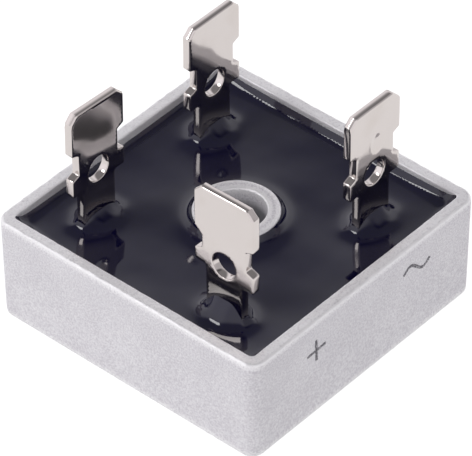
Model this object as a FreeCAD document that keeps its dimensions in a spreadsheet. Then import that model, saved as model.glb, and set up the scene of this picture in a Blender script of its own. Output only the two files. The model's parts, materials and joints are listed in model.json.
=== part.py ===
import FreeCAD, Part
import Sketcher
import math
import os

# A square bridge rectifier in a metal case: four silicon dice between copper plates, potted in
# black compound, with four push-on tabs above and a screw hole through the middle.
# Frame: origin at the middle of the base, +Z up, the marked side towards -Y.

V = FreeCAD.Vector

# Driving sizes in millimetres: name, value, what it measures
SIZES = [
    ("case_side", 28.6, "side of the square case at its rim"),
    ("case_height", 10.5, "base to rim"),
    ("case_taper", 0.12, "how far each outer wall leans in from rim to base"),
    ("case_corner_radius", 1.3, "upright corners of the case"),
    ("base_edge_break", 0.4, "broken edge round the base"),
    ("rim_edge_break", 0.2, "broken edge round the outside of the rim"),
    ("rim_width", 1.15, "flat rim from the outside to the cavity"),
    ("rim_inner_break", 0.1, "broken edge round the cavity mouth"),
    ("cavity_corner_radius", 0.4, "upright corners of the cavity"),
    ("floor_thickness", 1.8, "base plate of the case"),
    ("boss_radius", 3.75, "outside of the boss round the screw hole"),
    ("boss_setback", 0.25, "top of the boss below the rim"),
    ("boss_edge_break", 0.2, "broken edges of the boss"),
    ("screw_hole_radius", 2.6, "screw hole through boss and base"),
    ("fill_setback", 1.45, "flat surface of the compound below the rim"),
    ("meniscus_rise", 0.8, "height the compound climbs on walls, boss and stems"),
    ("meniscus_lip", 0.05, "thickness of the compound where the climb ends"),
    ("pool_corner_radius", 1.0, "corners of the flat surface of the compound"),
    ("insulator_clearance", 0.45, "gap between the insulating plate and the cavity walls"),
    ("insulator_thickness", 0.6, "insulating plate"),
    ("insulator_hole_radius", 4.4, "hole in the insulating plate round the boss"),
    ("insulator_chamfer", 1.0, "cropped corners of the insulating plate"),
    ("plate_thickness", 0.8, "copper plates and the negative link"),
    ("plate_margin", 0.7, "insulating plate showing outside the copper"),
    ("plate_inset", 5.0, "inner edges of the copper from the axis of the hole"),
    ("plate_reach", 2.5, "how far each copper plate runs past the middle of its side"),
    ("plate_corner_radius", 0.4, "corners of the copper plates"),
    ("die_side", 3.8, "square silicon die"),
    ("die_thickness", 0.3, "silicon die"),
    ("die_offset", 7.3, "middle of each die from the axis of the hole"),
    ("solder_thickness", 0.1, "each layer of solder"),
    ("lower_solder_inset", 0.1, "die overhang past the solder under it"),
    ("upper_solder_side", 2.2, "square of solder on top of each die"),
    ("strap_offset", 6.7, "centre lines of clips and link arms from the axis of the hole"),
    ("strap_width", 2.4, "clips and link arms"),
    ("strap_overrun", 1.2, "clips and arms past the middle of the die"),
    ("clip_thickness", 0.5, "clips from the dice to the plates beside them"),
    ("clip_landing", 7.6, "end of each clip on its plate, from the axis of the hole"),
    ("clip_joggle_start", 2.6, "start of the step in a clip"),
    ("clip_joggle_run", 1.0, "length of the step in a clip"),
    ("clip_joint_length", 1.8, "solder under the landing of a clip"),
    ("link_inset", 4.7, "inner edges of the link's corner pad from the axis of the hole"),
    ("arm_joggle_run", 1.9, "length of the step in each link arm"),
    ("tab_thickness", 0.8, "sheet of the terminals"),
    ("tab_half_width", 3.15, "half of the push-on blade"),
    ("tab_top", 21.85, "top of the blade above the base"),
    ("tip_crop", 0.7, "cropped top corners, across and down"),
    ("tip_bevel", 0.2, "bevels on both faces of the blade tip"),
    ("notch_depth", 0.78, "side notches of the blade"),
    ("notch_top", 17.75, "top of the side notches above the base"),
    ("notch_bottom", 15.1, "bottom of the side notches above the base"),
    ("notch_slope", 0.3, "fall of the notch edges towards the middle"),
    ("ear_bottom", 13.35, "underside of the ears above the base"),
    ("stem_half_width", 1.95, "half of the stem below the ears"),
    ("tab_hole_radius", 1.25, "hole through the blade"),
    ("tab_hole_height", 14.7, "middle of that hole above the base"),
    ("bend_radius", 0.5, "inside of the bend at the foot"),
    ("foot_reach", 2.4, "foot from the middle of the stem"),
    ("foot_solder_inset", 0.2, "foot overhang past the solder under it"),
    ("left_tab_x", 7.5, "left terminal from the middle, to -X"),
    ("left_tab_y", 8.95, "left terminal from the middle, to +Y"),
    ("back_tab_x", 7.2, "back terminal from the middle, to +X"),
    ("back_tab_y", 9.05, "back terminal from the middle, to +Y"),
    ("right_tab_x", 7.05, "right terminal from the middle, to +X"),
    ("right_tab_y", 8.65, "right terminal from the middle, to -Y"),
    ("near_tab_x", 9.55, "near terminal from the middle, to -X"),
    ("near_tab_y", 7.35, "near terminal from the middle, to -Y"),
]

doc = FreeCAD.newDocument("bridge_rectifier")
sheet = doc.addObject("Spreadsheet::Sheet", "sizes")
for row, (alias, number, note) in enumerate(SIZES, start=1):
    sheet.set("A%d" % row, alias)
    sheet.set("B%d" % row, str(number))
    sheet.setAlias("B%d" % row, alias)
    sheet.set("C%d" % row, note)
doc.recompute()

# Heights and limits that follow from the driving sizes
HALF_SIDE = "sizes.case_side / 2"
HALF_CAVITY = "(sizes.case_side / 2 - sizes.rim_width)"
INSULATOR_TOP = "(sizes.floor_thickness + sizes.insulator_thickness)"
PLATE_TOP = "(%s + sizes.plate_thickness)" % INSULATOR_TOP
JOINT_TOP = "(%s + sizes.solder_thickness)" % PLATE_TOP
DIE_TOP = "(%s + sizes.die_thickness)" % JOINT_TOP
STRAP_BASE = "(%s + sizes.solder_thickness)" % DIE_TOP
HALF_INSULATOR = "(%s - sizes.insulator_clearance)" % HALF_CAVITY
PLATE_LIMIT = "(%s - sizes.plate_margin)" % HALF_INSULATOR
BOSS_TOP = "(sizes.case_height - sizes.boss_setback)"
FILL_LEVEL = "(sizes.case_height - sizes.fill_setback)"
BEND_OUTSIDE = "(sizes.bend_radius + sizes.tab_thickness)"
STEM_BOTTOM = "(%s + %s)" % (JOINT_TOP, BEND_OUTSIDE)

# Tolerance for finding edges and faces, the least volume that a cut takes, and a right angle
NEAR = 1e-4
LEAST_CUT = 1e-6
RIGHT_ANGLE = math.pi / 2

nodes = {}


def number(expression):
    """The present value of an expression over the sheet."""
    return float(sheet.evalExpression(str(expression)))


def negative(expression):
    return "-(%s)" % expression


def new_body(label):
    body = doc.addObject("PartDesign::Body", label)
    body.Label = label
    return body


def keep(label, item):
    """Count a finished object as a sub-part that gets a file of its own."""
    item.Label = label
    nodes[label] = item
    return item


def place(item, x="0", y="0", z="0"):
    for axis, expression in (("x", x), ("y", y), ("z", z)):
        item.setExpression("Placement.Base." + axis, expression)


class Profile:
    """A sketch on one of a body's own planes, every size of it bound to the sheet."""

    def __init__(self, body, name, plane, offset="0"):
        self.sketch = body.newObject("Sketcher::SketchObject", name)
        support = next(item for item in body.Origin.OriginFeatures if item.Role == plane)
        self.sketch.AttachmentSupport = [(support, "")]
        self.sketch.MapMode = "FlatFace"
        if offset != "0":
            self.sketch.setExpression("AttachmentOffset.Base.z", offset)

    def bind(self, kind, *parts, size):
        index = self.sketch.addConstraint(Sketcher.Constraint(kind, *parts, number(size)))
        name = "size%d" % index
        self.sketch.renameConstraint(index, name)
        self.sketch.setExpression("Constraints." + name, size)

    def hold(self, geometry, end, across, up):
        """Fix one point of the sketch by its two ordinates."""
        if across == "0":
            self.sketch.addConstraint(Sketcher.Constraint("PointOnObject", geometry, end, -2))
        else:
            self.bind("DistanceX", -1, 1, geometry, end, size=across)
        if up == "0":
            self.sketch.addConstraint(Sketcher.Constraint("PointOnObject", geometry, end, -1))
        else:
            self.bind("DistanceY", -1, 1, geometry, end, size=up)

    def outline(self, corners):
        """A closed outline through corners given as pairs of expressions."""
        points = [V(number(across), number(up), 0) for across, up in corners]
        count = len(points)
        lines = [self.sketch.addGeometry(Part.LineSegment(points[i], points[(i + 1) % count]), False)
                 for i in range(count)]
        for i in range(count):
            self.sketch.addConstraint(Sketcher.Constraint("Coincident", lines[i], 2, lines[(i + 1) % count], 1))
        for line, (across, up) in zip(lines, corners):
            self.hold(line, 1, across, up)
        return lines

    def rectangle(self, left, bottom, right, top):
        return self.outline([(left, bottom), (right, bottom), (right, top), (left, top)])

    def circle(self, across, up, radius):
        middle = V(number(across), number(up), 0)
        index = self.sketch.addGeometry(Part.Circle(middle, V(0, 0, 1), number(radius)), False)
        self.hold(index, 3, across, up)
        self.bind("Radius", index, size=radius)
        return index

    def rounded(self, across, up, half_width, half_depth, radius):
        """A rectangle with round corners about a middle point."""
        x, y, w, d, r = (number(item) for item in (across, up, half_width, half_depth, radius))
        add = self.sketch.addGeometry
        bottom = add(Part.LineSegment(V(x - w + r, y - d, 0), V(x + w - r, y - d, 0)), False)
        right = add(Part.LineSegment(V(x + w, y - d + r, 0), V(x + w, y + d - r, 0)), False)
        top = add(Part.LineSegment(V(x + w - r, y + d, 0), V(x - w + r, y + d, 0)), False)
        left = add(Part.LineSegment(V(x - w, y + d - r, 0), V(x - w, y - d + r, 0)), False)
        lines = [bottom, right, top, left]
        centres = [(x + w - r, y - d + r), (x + w - r, y + d - r), (x - w + r, y + d - r), (x - w + r, y - d + r)]
        arcs = []
        for quarter, (cx, cy) in enumerate(centres):
            start = (quarter - 1) * RIGHT_ANGLE
            circle = Part.Circle(V(cx, cy, 0), V(0, 0, 1), r)
            arcs.append(add(Part.ArcOfCircle(circle, start, start + RIGHT_ANGLE), False))
        constrain = self.sketch.addConstraint
        for i in range(4):
            constrain(Sketcher.Constraint("Tangent", lines[i], 2, arcs[i], 1))
            constrain(Sketcher.Constraint("Tangent", arcs[i], 2, lines[(i + 1) % 4], 1))
        constrain(Sketcher.Constraint("Horizontal", bottom))
        constrain(Sketcher.Constraint("Vertical", right))
        constrain(Sketcher.Constraint("Horizontal", top))
        constrain(Sketcher.Constraint("Vertical", left))
        self.bind("Radius", arcs[0], size=radius)
        for other in arcs[1:]:
            constrain(Sketcher.Constraint("Equal", arcs[0], other))
        near = "%s - (%s) + (%s)"
        far = "%s + (%s) - (%s)"
        self.hold(arcs[3], 3, near % (across, half_width, radius), near % (up, half_depth, radius))
        self.hold(arcs[1], 3, far % (across, half_width, radius), far % (up, half_depth, radius))
        return lines + arcs


def pad(body, name, profile, length, symmetric=False):
    feature = body.newObject("PartDesign::Pad", name)
    feature.Profile = profile.sketch
    feature.setExpression("Length", length)
    if symmetric:
        feature.SideType = "Symmetric"
    doc.recompute()
    return feature


def pocket(body, name, profile, length, symmetric=False):
    """Cut down from the profile's plane, or both ways from it, and see that something was cut."""
    before = body.Shape.Volume
    feature = body.newObject("PartDesign::Pocket", name)
    feature.Profile = profile.sketch
    feature.setExpression("Length", length)
    if symmetric:
        feature.SideType = "Symmetric"
    doc.recompute()
    if body.Shape.Volume > before - LEAST_CUT:
        raise RuntimeError(name + " cuts nothing")
    return feature


def edge_names(feature, wanted):
    """Names of the edges of a feature that pass a test of their geometry."""
    return ["Edge%d" % i for i, edge in enumerate(feature.Shape.Edges, start=1) if wanted(edge)]


def at_height(height, within=None):
    """A test for edges that lie in one level plane, and inside a square of a given half side."""
    level = number(height)
    limit = None if within is None else number(within) + NEAR

    def test(edge):
        box = edge.BoundBox
        if abs(box.ZMin - level) > NEAR or abs(box.ZMax - level) > NEAR:
            return False
        return limit is None or max(box.XMax, -box.XMin, box.YMax, -box.YMin) < limit
    return test


def upright(edge):
    """A test for edges that rise more than they run."""
    return edge.BoundBox.ZLength > edge.BoundBox.XLength + edge.BoundBox.YLength


def round_edges(body, name, wanted, radius):
    base = body.Tip
    feature = body.newObject("PartDesign::Fillet", name)
    feature.Base = (base, edge_names(base, wanted))
    feature.setExpression("Radius", radius)
    doc.recompute()
    return feature


def break_edges(body, name, wanted, size):
    base = body.Tip
    feature = body.newObject("PartDesign::Chamfer", name)
    feature.Base = (base, edge_names(base, wanted))
    feature.setExpression("Size", size)
    doc.recompute()
    return feature


def lean_out(body, name, block, angle):
    """Lean the upright faces of a block outwards from its base."""
    walls = ["Face%d" % i for i, face in enumerate(block.Shape.Faces, start=1)
             if abs(face.normalAt(0, 0).z) < NEAR]
    plane = next(item for item in body.Origin.OriginFeatures if item.Role == "XY_Plane")
    feature = body.newObject("PartDesign::Draft", name)
    feature.Base = (block, walls)
    feature.NeutralPlane = (plane, [""])
    feature.Reversed = True
    feature.setExpression("Angle", angle)
    doc.recompute()
    return feature


def make_case():
    """Tray with a flat rim, leaning outer walls and a boss round the screw hole."""
    body = new_body("case")
    half_base = "(%s - sizes.case_taper)" % HALF_SIDE
    foot = Profile(body, "case_foot", "XY_Plane")
    foot.rectangle(negative(half_base), negative(half_base), half_base, half_base)
    block = pad(body, "case_block", foot, "sizes.case_height")
    lean_out(body, "case_taper", block, "atan(sizes.case_taper / sizes.case_height)")
    round_edges(body, "case_corners", upright, "sizes.case_corner_radius")
    break_edges(body, "case_base_edge", at_height("0"), "sizes.base_edge_break")
    break_edges(body, "case_rim_edge", at_height("sizes.case_height"), "sizes.rim_edge_break")

    mouth = Profile(body, "cavity_mouth", "XY_Plane", "sizes.case_height")
    mouth.rounded("0", "0", HALF_CAVITY, HALF_CAVITY, "sizes.cavity_corner_radius")
    pocket(body, "cavity", mouth, "sizes.case_height - sizes.floor_thickness")
    mouth_edges = at_height("sizes.case_height", within=HALF_CAVITY)
    break_edges(body, "cavity_mouth_edge", mouth_edges, "sizes.rim_inner_break")

    boss = Profile(body, "boss_outline", "XY_Plane", "sizes.floor_thickness")
    boss.circle("0", "0", "sizes.boss_radius")
    pad(body, "boss", boss, "%s - sizes.floor_thickness" % BOSS_TOP)
    bore = Profile(body, "screw_hole_outline", "XY_Plane", "sizes.case_height")
    bore.circle("0", "0", "sizes.screw_hole_radius")
    pocket(body, "screw_hole", bore, "sizes.case_height")
    top_edges = at_height(BOSS_TOP, within="sizes.boss_radius")
    break_edges(body, "boss_top_edges", top_edges, "sizes.boss_edge_break")
    base_edge = at_height("0", within="sizes.screw_hole_radius")
    break_edges(body, "screw_hole_base_edge", base_edge, "sizes.boss_edge_break")
    return keep("case", body)


def make_insulator():
    """Thin square plate on the floor, open round the boss, corners cropped."""
    body = new_body("insulator_plate")
    low = negative(HALF_INSULATOR)
    outline = Profile(body, "insulator_outline", "XY_Plane")
    outline.rectangle(low, low, HALF_INSULATOR, HALF_INSULATOR)
    pad(body, "insulator_sheet", outline, "sizes.insulator_thickness")
    break_edges(body, "insulator_corners", upright, "sizes.insulator_chamfer")
    hole = Profile(body, "insulator_hole_outline", "XY_Plane", "sizes.insulator_thickness")
    hole.circle("0", "0", "sizes.insulator_hole_radius")
    pocket(body, "insulator_hole", hole, "sizes.insulator_thickness")
    place(body, z="sizes.floor_thickness")
    return keep("insulator_plate", body)


def make_plate(label, corners):
    """One copper plate on the insulator, cut to an outline with rounded corners."""
    body = new_body(label)
    outline = Profile(body, label + "_outline", "XY_Plane")
    outline.outline(corners)
    pad(body, label + "_sheet", outline, "sizes.plate_thickness")
    round_edges(body, label + "_corners", upright, "sizes.plate_corner_radius")
    place(body, z=INSULATOR_TOP)
    return keep(label, body)


def make_plates():
    """Positive plate round the near corner, one plate along each alternating side."""
    limit = PLATE_LIMIT
    low = negative(PLATE_LIMIT)
    inset = "sizes.plate_inset"
    reach = "sizes.plate_reach"
    make_plate("positive_plate", [
        (low, low), (reach, low), (reach, negative(inset)), (negative(inset), negative(inset)),
        (negative(inset), reach), (low, reach)])
    make_plate("ac_left_plate", [(low, inset), (reach, inset), (reach, limit), (low, limit)])
    make_plate("ac_right_plate", [(inset, low), (limit, low), (limit, reach), (inset, reach)])


def make_die(label, x, y):
    """Silicon die with a layer of solder under it and one on top."""
    def square(name, half, thickness, base, x, y):
        box = doc.addObject("Part::Box", name)
        box.setExpression("Length", "2 * (%s)" % half)
        box.setExpression("Width", "2 * (%s)" % half)
        box.setExpression("Height", thickness)
        place(box, "%s - (%s)" % (x, half), "%s - (%s)" % (y, half), base)
        return keep(name, box)

    def along(direction, distance):
        return {-1: negative(distance), 0: "0", 1: distance}[direction]

    place_x = along(x, "sizes.die_offset")
    place_y = along(y, "sizes.die_offset")
    square("solder_lower_" + label, "sizes.die_side / 2 - sizes.lower_solder_inset",
           "sizes.solder_thickness", PLATE_TOP, place_x, place_y)
    square("diode_die_" + label, "sizes.die_side / 2", "sizes.die_thickness", JOINT_TOP, place_x, place_y)
    square("solder_upper_" + label, "sizes.upper_solder_side / 2", "sizes.solder_thickness", DIE_TOP,
           along(x, "sizes.strap_offset"), along(y, "sizes.strap_offset"))


def make_clip(label, plane, offset):
    """Copper clip from the top of a die down to the plate beside it."""
    body = new_body(label)
    side = Profile(body, label + "_side", plane, offset)
    rise = "(sizes.die_thickness + sizes.solder_thickness)"
    shift = "sizes.clip_thickness * tan(atan(%s / sizes.clip_joggle_run) / 2)" % rise
    side.outline([
        ("-sizes.strap_overrun", rise),
        ("sizes.clip_joggle_start", rise),
        ("sizes.clip_joggle_start + sizes.clip_joggle_run", "0"),
        ("sizes.clip_landing", "0"),
        ("sizes.clip_landing", "sizes.clip_thickness"),
        ("sizes.clip_joggle_start + sizes.clip_joggle_run + %s" % shift, "sizes.clip_thickness"),
        ("sizes.clip_joggle_start + %s" % shift, "%s + sizes.clip_thickness" % rise),
        ("-sizes.strap_overrun", "%s + sizes.clip_thickness" % rise)])
    pad(body, label + "_strip", side, "sizes.strap_width", symmetric=True)
    place(body, z=JOINT_TOP)
    return keep(label, body)


def make_clips():
    make_clip("ac_left_clip", "YZ_Plane", negative("sizes.strap_offset"))
    make_clip("ac_right_clip", "XZ_Plane", "sizes.strap_offset")
    for label, along_x in (("clip_joint_left", False), ("clip_joint_right", True)):
        box = doc.addObject("Part::Box", label)
        box.setExpression("Length", "sizes.clip_joint_length" if along_x else "sizes.upper_solder_side")
        box.setExpression("Width", "sizes.upper_solder_side" if along_x else "sizes.clip_joint_length")
        box.setExpression("Height", "sizes.solder_thickness")
        landing = "sizes.clip_landing - sizes.clip_joint_length"
        across = "-sizes.strap_offset - sizes.upper_solder_side / 2"
        place(box, landing if along_x else across, across if along_x else landing, PLATE_TOP)
        keep(label, box)


def make_link():
    """Negative link: a pad in the back corner and two arms that step up onto the dice."""
    body = new_body("negative_link")
    corner = Profile(body, "link_pad_outline", "XY_Plane")
    corner.rectangle("sizes.link_inset", "sizes.link_inset", PLATE_LIMIT, PLATE_LIMIT)
    pad(body, "link_pad", corner, "sizes.plate_thickness")
    round_edges(body, "link_pad_corners", upright, "sizes.plate_corner_radius")
    rise = "(%s - %s)" % (STRAP_BASE, INSULATOR_TOP)
    shift = "sizes.plate_thickness * tan(atan(%s / sizes.arm_joggle_run) / 2)" % rise
    root = "sizes.link_inset + sizes.plate_corner_radius + %s" % shift
    foot = "sizes.link_inset"
    head = "sizes.link_inset - sizes.arm_joggle_run"
    side_view = [
        (root, "0"),
        (foot, "0"),
        (head, rise),
        ("-sizes.strap_overrun", rise),
        ("-sizes.strap_overrun", "%s + sizes.plate_thickness" % rise),
        ("%s + %s" % (head, shift), "%s + sizes.plate_thickness" % rise),
        ("%s + %s" % (foot, shift), "sizes.plate_thickness"),
        (root, "sizes.plate_thickness")]
    for name, plane, offset in (("link_arm_back", "XZ_Plane", negative("sizes.strap_offset")),
                                ("link_arm_right", "YZ_Plane", "sizes.strap_offset")):
        side = Profile(body, name + "_side", plane, offset)
        side.outline(side_view)
        pad(body, name, side, "sizes.strap_width", symmetric=True)
    place(body, z=INSULATOR_TOP)
    return keep("negative_link", body)


def make_terminal(label, x, y, turn, foot_side):
    """Push-on blade, notched stem and bent foot, cut from one sheet; the foot bends to either side."""
    body = new_body(label)
    half = "sizes.tab_half_width"
    stem = "sizes.stem_half_width"
    tip = "(sizes.tab_half_width - sizes.tip_crop)"
    shoulder = "(sizes.tab_top - sizes.tip_crop)"
    neck = "(sizes.tab_half_width - sizes.notch_depth)"
    left = [
        (negative(tip), "sizes.tab_top"),
        (negative(half), shoulder),
        (negative(half), "sizes.notch_top"),
        (negative(neck), "sizes.notch_top - sizes.notch_slope"),
        (negative(neck), "sizes.notch_bottom + sizes.notch_slope"),
        (negative(half), "sizes.notch_bottom"),
        (negative(half), "sizes.ear_bottom"),
        (negative(stem), "sizes.ear_bottom"),
        (negative(stem), STEM_BOTTOM)]
    right = [(across.lstrip("-"), up) for across, up in reversed(left)]
    front = Profile(body, label + "_front", "XZ_Plane")
    front.outline(left + right)
    pad(body, label + "_blade", front, "sizes.tab_thickness", symmetric=True)

    hole = Profile(body, label + "_hole_outline", "XZ_Plane")
    hole.circle("0", "sizes.tab_hole_height", "sizes.tab_hole_radius")
    pocket(body, label + "_hole", hole, "2 * sizes.tab_thickness", symmetric=True)

    shoulder_height = number(shoulder) - NEAR

    def tip_edge(edge):
        return edge.BoundBox.ZMin > shoulder_height and edge.BoundBox.YLength < NEAR

    break_edges(body, label + "_tip_edges", tip_edge, "sizes.tip_bevel")

    bend = Profile(body, label + "_foot_side", "YZ_Plane")
    draw_foot(bend, foot_side)
    pad(body, label + "_foot", bend, "2 * sizes.stem_half_width", symmetric=True)

    place(body, x, y)
    body.Placement.Rotation = FreeCAD.Rotation(V(0, 0, 1), turn)
    doc.recompute()
    return keep(label, body)


def draw_foot(profile, side):
    """Side view of the foot: a quarter bend under the stem and a flat tail."""
    sketch = profile.sketch
    sign = "" if side > 0 else "-"
    centre = sign + "(sizes.tab_thickness / 2 + sizes.bend_radius)"
    half = number("sizes.tab_thickness / 2")
    turn = abs(number(centre))
    low = number(JOINT_TOP)
    high = number(STEM_BOTTOM)
    top_of_tail = low + 2 * half
    tail = number("sizes.foot_reach")
    start = 2 * RIGHT_ANGLE if side > 0 else 3 * RIGHT_ANGLE
    first, last = (1, 2) if side > 0 else (2, 1)

    def line(from_across, from_up, to_across, to_up):
        ends = (V(side * from_across, from_up, 0), V(side * to_across, to_up, 0))
        return sketch.addGeometry(Part.LineSegment(*ends), False)

    def quarter(radius):
        circle = Part.Circle(V(side * turn, high, 0), V(0, 0, 1), radius)
        return sketch.addGeometry(Part.ArcOfCircle(circle, start, start + RIGHT_ANGLE), False)

    def constrain(kind, *parts):
        sketch.addConstraint(Sketcher.Constraint(kind, *parts))

    top = line(-half, high, half, high)
    inside = quarter(number("sizes.bend_radius"))
    upper = line(turn, top_of_tail, tail, top_of_tail)
    end = line(tail, top_of_tail, tail, low)
    lower = line(tail, low, turn, low)
    outside = quarter(number(BEND_OUTSIDE))
    constrain("Coincident", top, 2, inside, first)
    constrain("Coincident", inside, last, upper, 1)
    constrain("Coincident", upper, 2, end, 1)
    constrain("Coincident", end, 2, lower, 1)
    constrain("Coincident", lower, 2, outside, last)
    constrain("Coincident", outside, first, top, 1)
    constrain("Coincident", inside, 3, outside, 3)
    profile.hold(inside, 3, centre, STEM_BOTTOM)
    profile.bind("Radius", inside, size="sizes.bend_radius")
    profile.bind("Radius", outside, size=BEND_OUTSIDE)
    constrain("Horizontal", top)
    constrain("Horizontal", upper)
    constrain("Horizontal", lower)
    constrain("Vertical", end)
    profile.bind("DistanceY", -1, 1, top, 1, size=STEM_BOTTOM)
    profile.bind("DistanceX", -1, 1, inside, last, size=centre)
    profile.bind("DistanceX", -1, 1, outside, last, size=centre)
    profile.bind("DistanceX", -1, 1, end, 1, size=sign + "sizes.foot_reach")


TERMINALS = [
    ("terminal_ac_left", "-sizes.left_tab_x", "sizes.left_tab_y", 0, 1),
    ("terminal_negative", "sizes.back_tab_x", "sizes.back_tab_y", 0, 1),
    ("terminal_ac_right", "sizes.right_tab_x", "-sizes.right_tab_y", 0, -1),
    ("terminal_positive", "-sizes.near_tab_x", "-sizes.near_tab_y", 90, -1),
]


def make_foot_joint(label, x, y, turn, foot_side):
    """Solder between the flat of a terminal's foot and the plate under it."""
    box = doc.addObject("Part::Box", label)
    width = "2 * (sizes.stem_half_width - sizes.foot_solder_inset)"
    start = "(sizes.tab_thickness / 2 + sizes.bend_radius)"
    length = "sizes.foot_reach - sizes.foot_solder_inset - %s" % start
    half = "(%s) / 2" % width
    if turn == 90:
        # A quarter turn carries the tab's +Y side to -X
        sizes = (length, width)
        low = "%s - %s - (%s)" % (x, start, length) if foot_side > 0 else "%s + %s" % (x, start)
        corner = (low, "%s - %s" % (y, half))
    else:
        sizes = (width, length)
        low = "%s + %s" % (y, start) if foot_side > 0 else "%s - %s - (%s)" % (y, start, length)
        corner = ("%s - %s" % (x, half), low)
    box.setExpression("Length", sizes[0])
    box.setExpression("Width", sizes[1])
    box.setExpression("Height", "sizes.solder_thickness")
    place(box, corner[0], corner[1], PLATE_TOP)
    return keep(label, box)


def make_compound(inside):
    """Potting compound: fills the cavity round every inner piece and climbs where it wets."""
    body = new_body("compound_fill")
    climb_top = "(%s + sizes.meniscus_rise)" % FILL_LEVEL
    floor = Profile(body, "fill_outline", "XY_Plane", "sizes.floor_thickness")
    floor.rounded("0", "0", HALF_CAVITY, HALF_CAVITY, "sizes.cavity_corner_radius")
    floor.circle("0", "0", "sizes.boss_radius")
    pad(body, "fill", floor, "%s - sizes.floor_thickness" % climb_top)

    pool = Profile(body, "pool_outline", "XY_Plane", climb_top)
    half_pool = "(%s - sizes.meniscus_lip)" % HALF_CAVITY
    pool.rounded("0", "0", half_pool, half_pool, "sizes.pool_corner_radius")
    pool.circle("0", "0", "sizes.boss_radius + sizes.meniscus_lip")
    collar_length = "(sizes.stem_half_width + sizes.meniscus_lip)"
    collar_width = "(sizes.tab_thickness / 2 + sizes.meniscus_lip)"
    for _, x, y, turn, _ in TERMINALS:
        half_x, half_y = (collar_length, collar_width) if turn == 0 else (collar_width, collar_length)
        pool.rounded(x, y, half_x, half_y, "2 * sizes.meniscus_lip")
    pocket(body, "pool", pool, "sizes.meniscus_rise")
    round_edges(body, "meniscus", at_height(FILL_LEVEL), "sizes.meniscus_rise - sizes.meniscus_lip")

    tools = doc.addObject("Part::MultiFuse", "embedded_pieces")
    tools.Shapes = inside
    compound = doc.addObject("Part::Cut", "potting_compound")
    compound.Base = body
    compound.Tool = tools
    doc.recompute()
    return keep("potting_compound", compound)


make_case()
make_insulator()
make_plates()
for label, x, y in (("1", -1, 0), ("2", 0, -1), ("3", 0, 1), ("4", 1, 0)):
    make_die(label, x, y)
make_clips()
make_link()
for label, x, y, turn, foot_side in TERMINALS:
    make_terminal(label, x, y, turn, foot_side)
    make_foot_joint(label.replace("terminal_", "foot_joint_"), x, y, turn, foot_side)
doc.recompute()
make_compound([item for label, item in nodes.items() if label != "case"])
doc.recompute()

# Nothing is written unless every object is sound
for item in doc.Objects:
    if "Invalid" in item.State or "Error" in item.State:
        raise RuntimeError("%s is %s" % (item.Label, item.State))
for label, item in nodes.items():
    if item.Shape.isNull() or not item.Shape.isValid() or len(item.Shape.Solids) != 1:
        raise RuntimeError("%s has no single sound solid" % label)

os.makedirs("parts", exist_ok=True)
for label, item in nodes.items():
    item.Shape.exportStep("parts/%s.step" % label)
print("%d pieces" % len(nodes))
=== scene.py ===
"""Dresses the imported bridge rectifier: a potted metal case, four push-on tabs and its printed signs."""

import json
import logging
import math
from dataclasses import dataclass
from enum import Enum
from typing import Any, Iterable, Sequence

import bmesh
import bpy
import numpy as np
from mathutils import Matrix, Vector, noise
from mathutils.geometry import delaunay_2d_cdt


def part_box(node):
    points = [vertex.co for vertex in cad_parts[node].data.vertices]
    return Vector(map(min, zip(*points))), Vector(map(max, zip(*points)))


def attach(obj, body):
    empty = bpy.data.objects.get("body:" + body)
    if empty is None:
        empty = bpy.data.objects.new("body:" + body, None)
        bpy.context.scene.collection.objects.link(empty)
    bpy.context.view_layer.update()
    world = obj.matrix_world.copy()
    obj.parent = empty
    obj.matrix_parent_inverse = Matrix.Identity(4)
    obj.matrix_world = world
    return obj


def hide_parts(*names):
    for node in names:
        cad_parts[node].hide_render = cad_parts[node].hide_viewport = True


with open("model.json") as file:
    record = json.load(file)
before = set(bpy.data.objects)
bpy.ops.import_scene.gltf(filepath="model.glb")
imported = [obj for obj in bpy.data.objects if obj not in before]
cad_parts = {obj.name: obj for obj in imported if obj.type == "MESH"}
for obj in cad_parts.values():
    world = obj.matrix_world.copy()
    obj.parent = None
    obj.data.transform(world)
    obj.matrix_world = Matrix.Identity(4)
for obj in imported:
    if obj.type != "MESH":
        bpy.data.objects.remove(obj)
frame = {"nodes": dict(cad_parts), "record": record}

# Lengths below are in millimetres; MM turns them to Blender's metres
MM = 0.001

log = logging.getLogger("bridge_rectifier")

# The two ends of a range; a point on a level or on a flat strip; a point in the frame; a ring of points with one
# value for its polish from handling, its painted sheen and its painted shade; and a step of arithmetic, as the name
# of its result, the operation and what goes in
Span = tuple[float, float]
Plane = tuple[float, float]
Place = tuple[float, float, float]
Ring = tuple[list[Place], float]
Step = tuple[Any, ...]

# Angles that round an edge off in four steps
QUARTER = [step / 4 * math.pi / 2 for step in range(5)]


# Node trees and colours

def linear(shade: str) -> tuple[float, float, float, float]:
    """Turns an sRGB hex colour to the linear colour that Blender's sockets take.

    Args:
        shade: six hex digits after a hash sign.

    Returns:
        Red, green and blue from 0 to 1, and an alpha of 1.
    """
    parts = [int(shade[start:start + 2], 16) / 255 for start in (1, 3, 5)]
    red, green, blue = (c / 12.92 if c <= 0.04045 else ((c + 0.055) / 1.055) ** 2.4 for c in parts)
    return red, green, blue, 1.0


def add(tree: bpy.types.NodeTree, kind: str, inputs: dict[str, Any] | None = None,
        **settings: Any) -> bpy.types.Node:
    """Adds one node with its settings, values and links.

    Args:
        tree: the tree that gets the node.
        kind: the node's type name.
        inputs: what goes into each input, by its identifier or name: a socket or a node's first output in
            use is linked, and any other value is set.
        settings: the node's own properties, by name.

    Returns:
        The new node.
    """
    node = tree.nodes.new(kind)
    for name, value in settings.items():
        setattr(node, name, value)
    for name, value in (inputs or {}).items():
        found = [s for s in node.inputs if s.identifier == name] or [s for s in node.inputs if s.name == name]
        if isinstance(value, bpy.types.Node):
            value = next(socket for socket in value.outputs if socket.enabled)
        if isinstance(value, bpy.types.NodeSocket):
            tree.links.new(value, found[0])
        else:
            found[0].default_value = value
    return node


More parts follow.
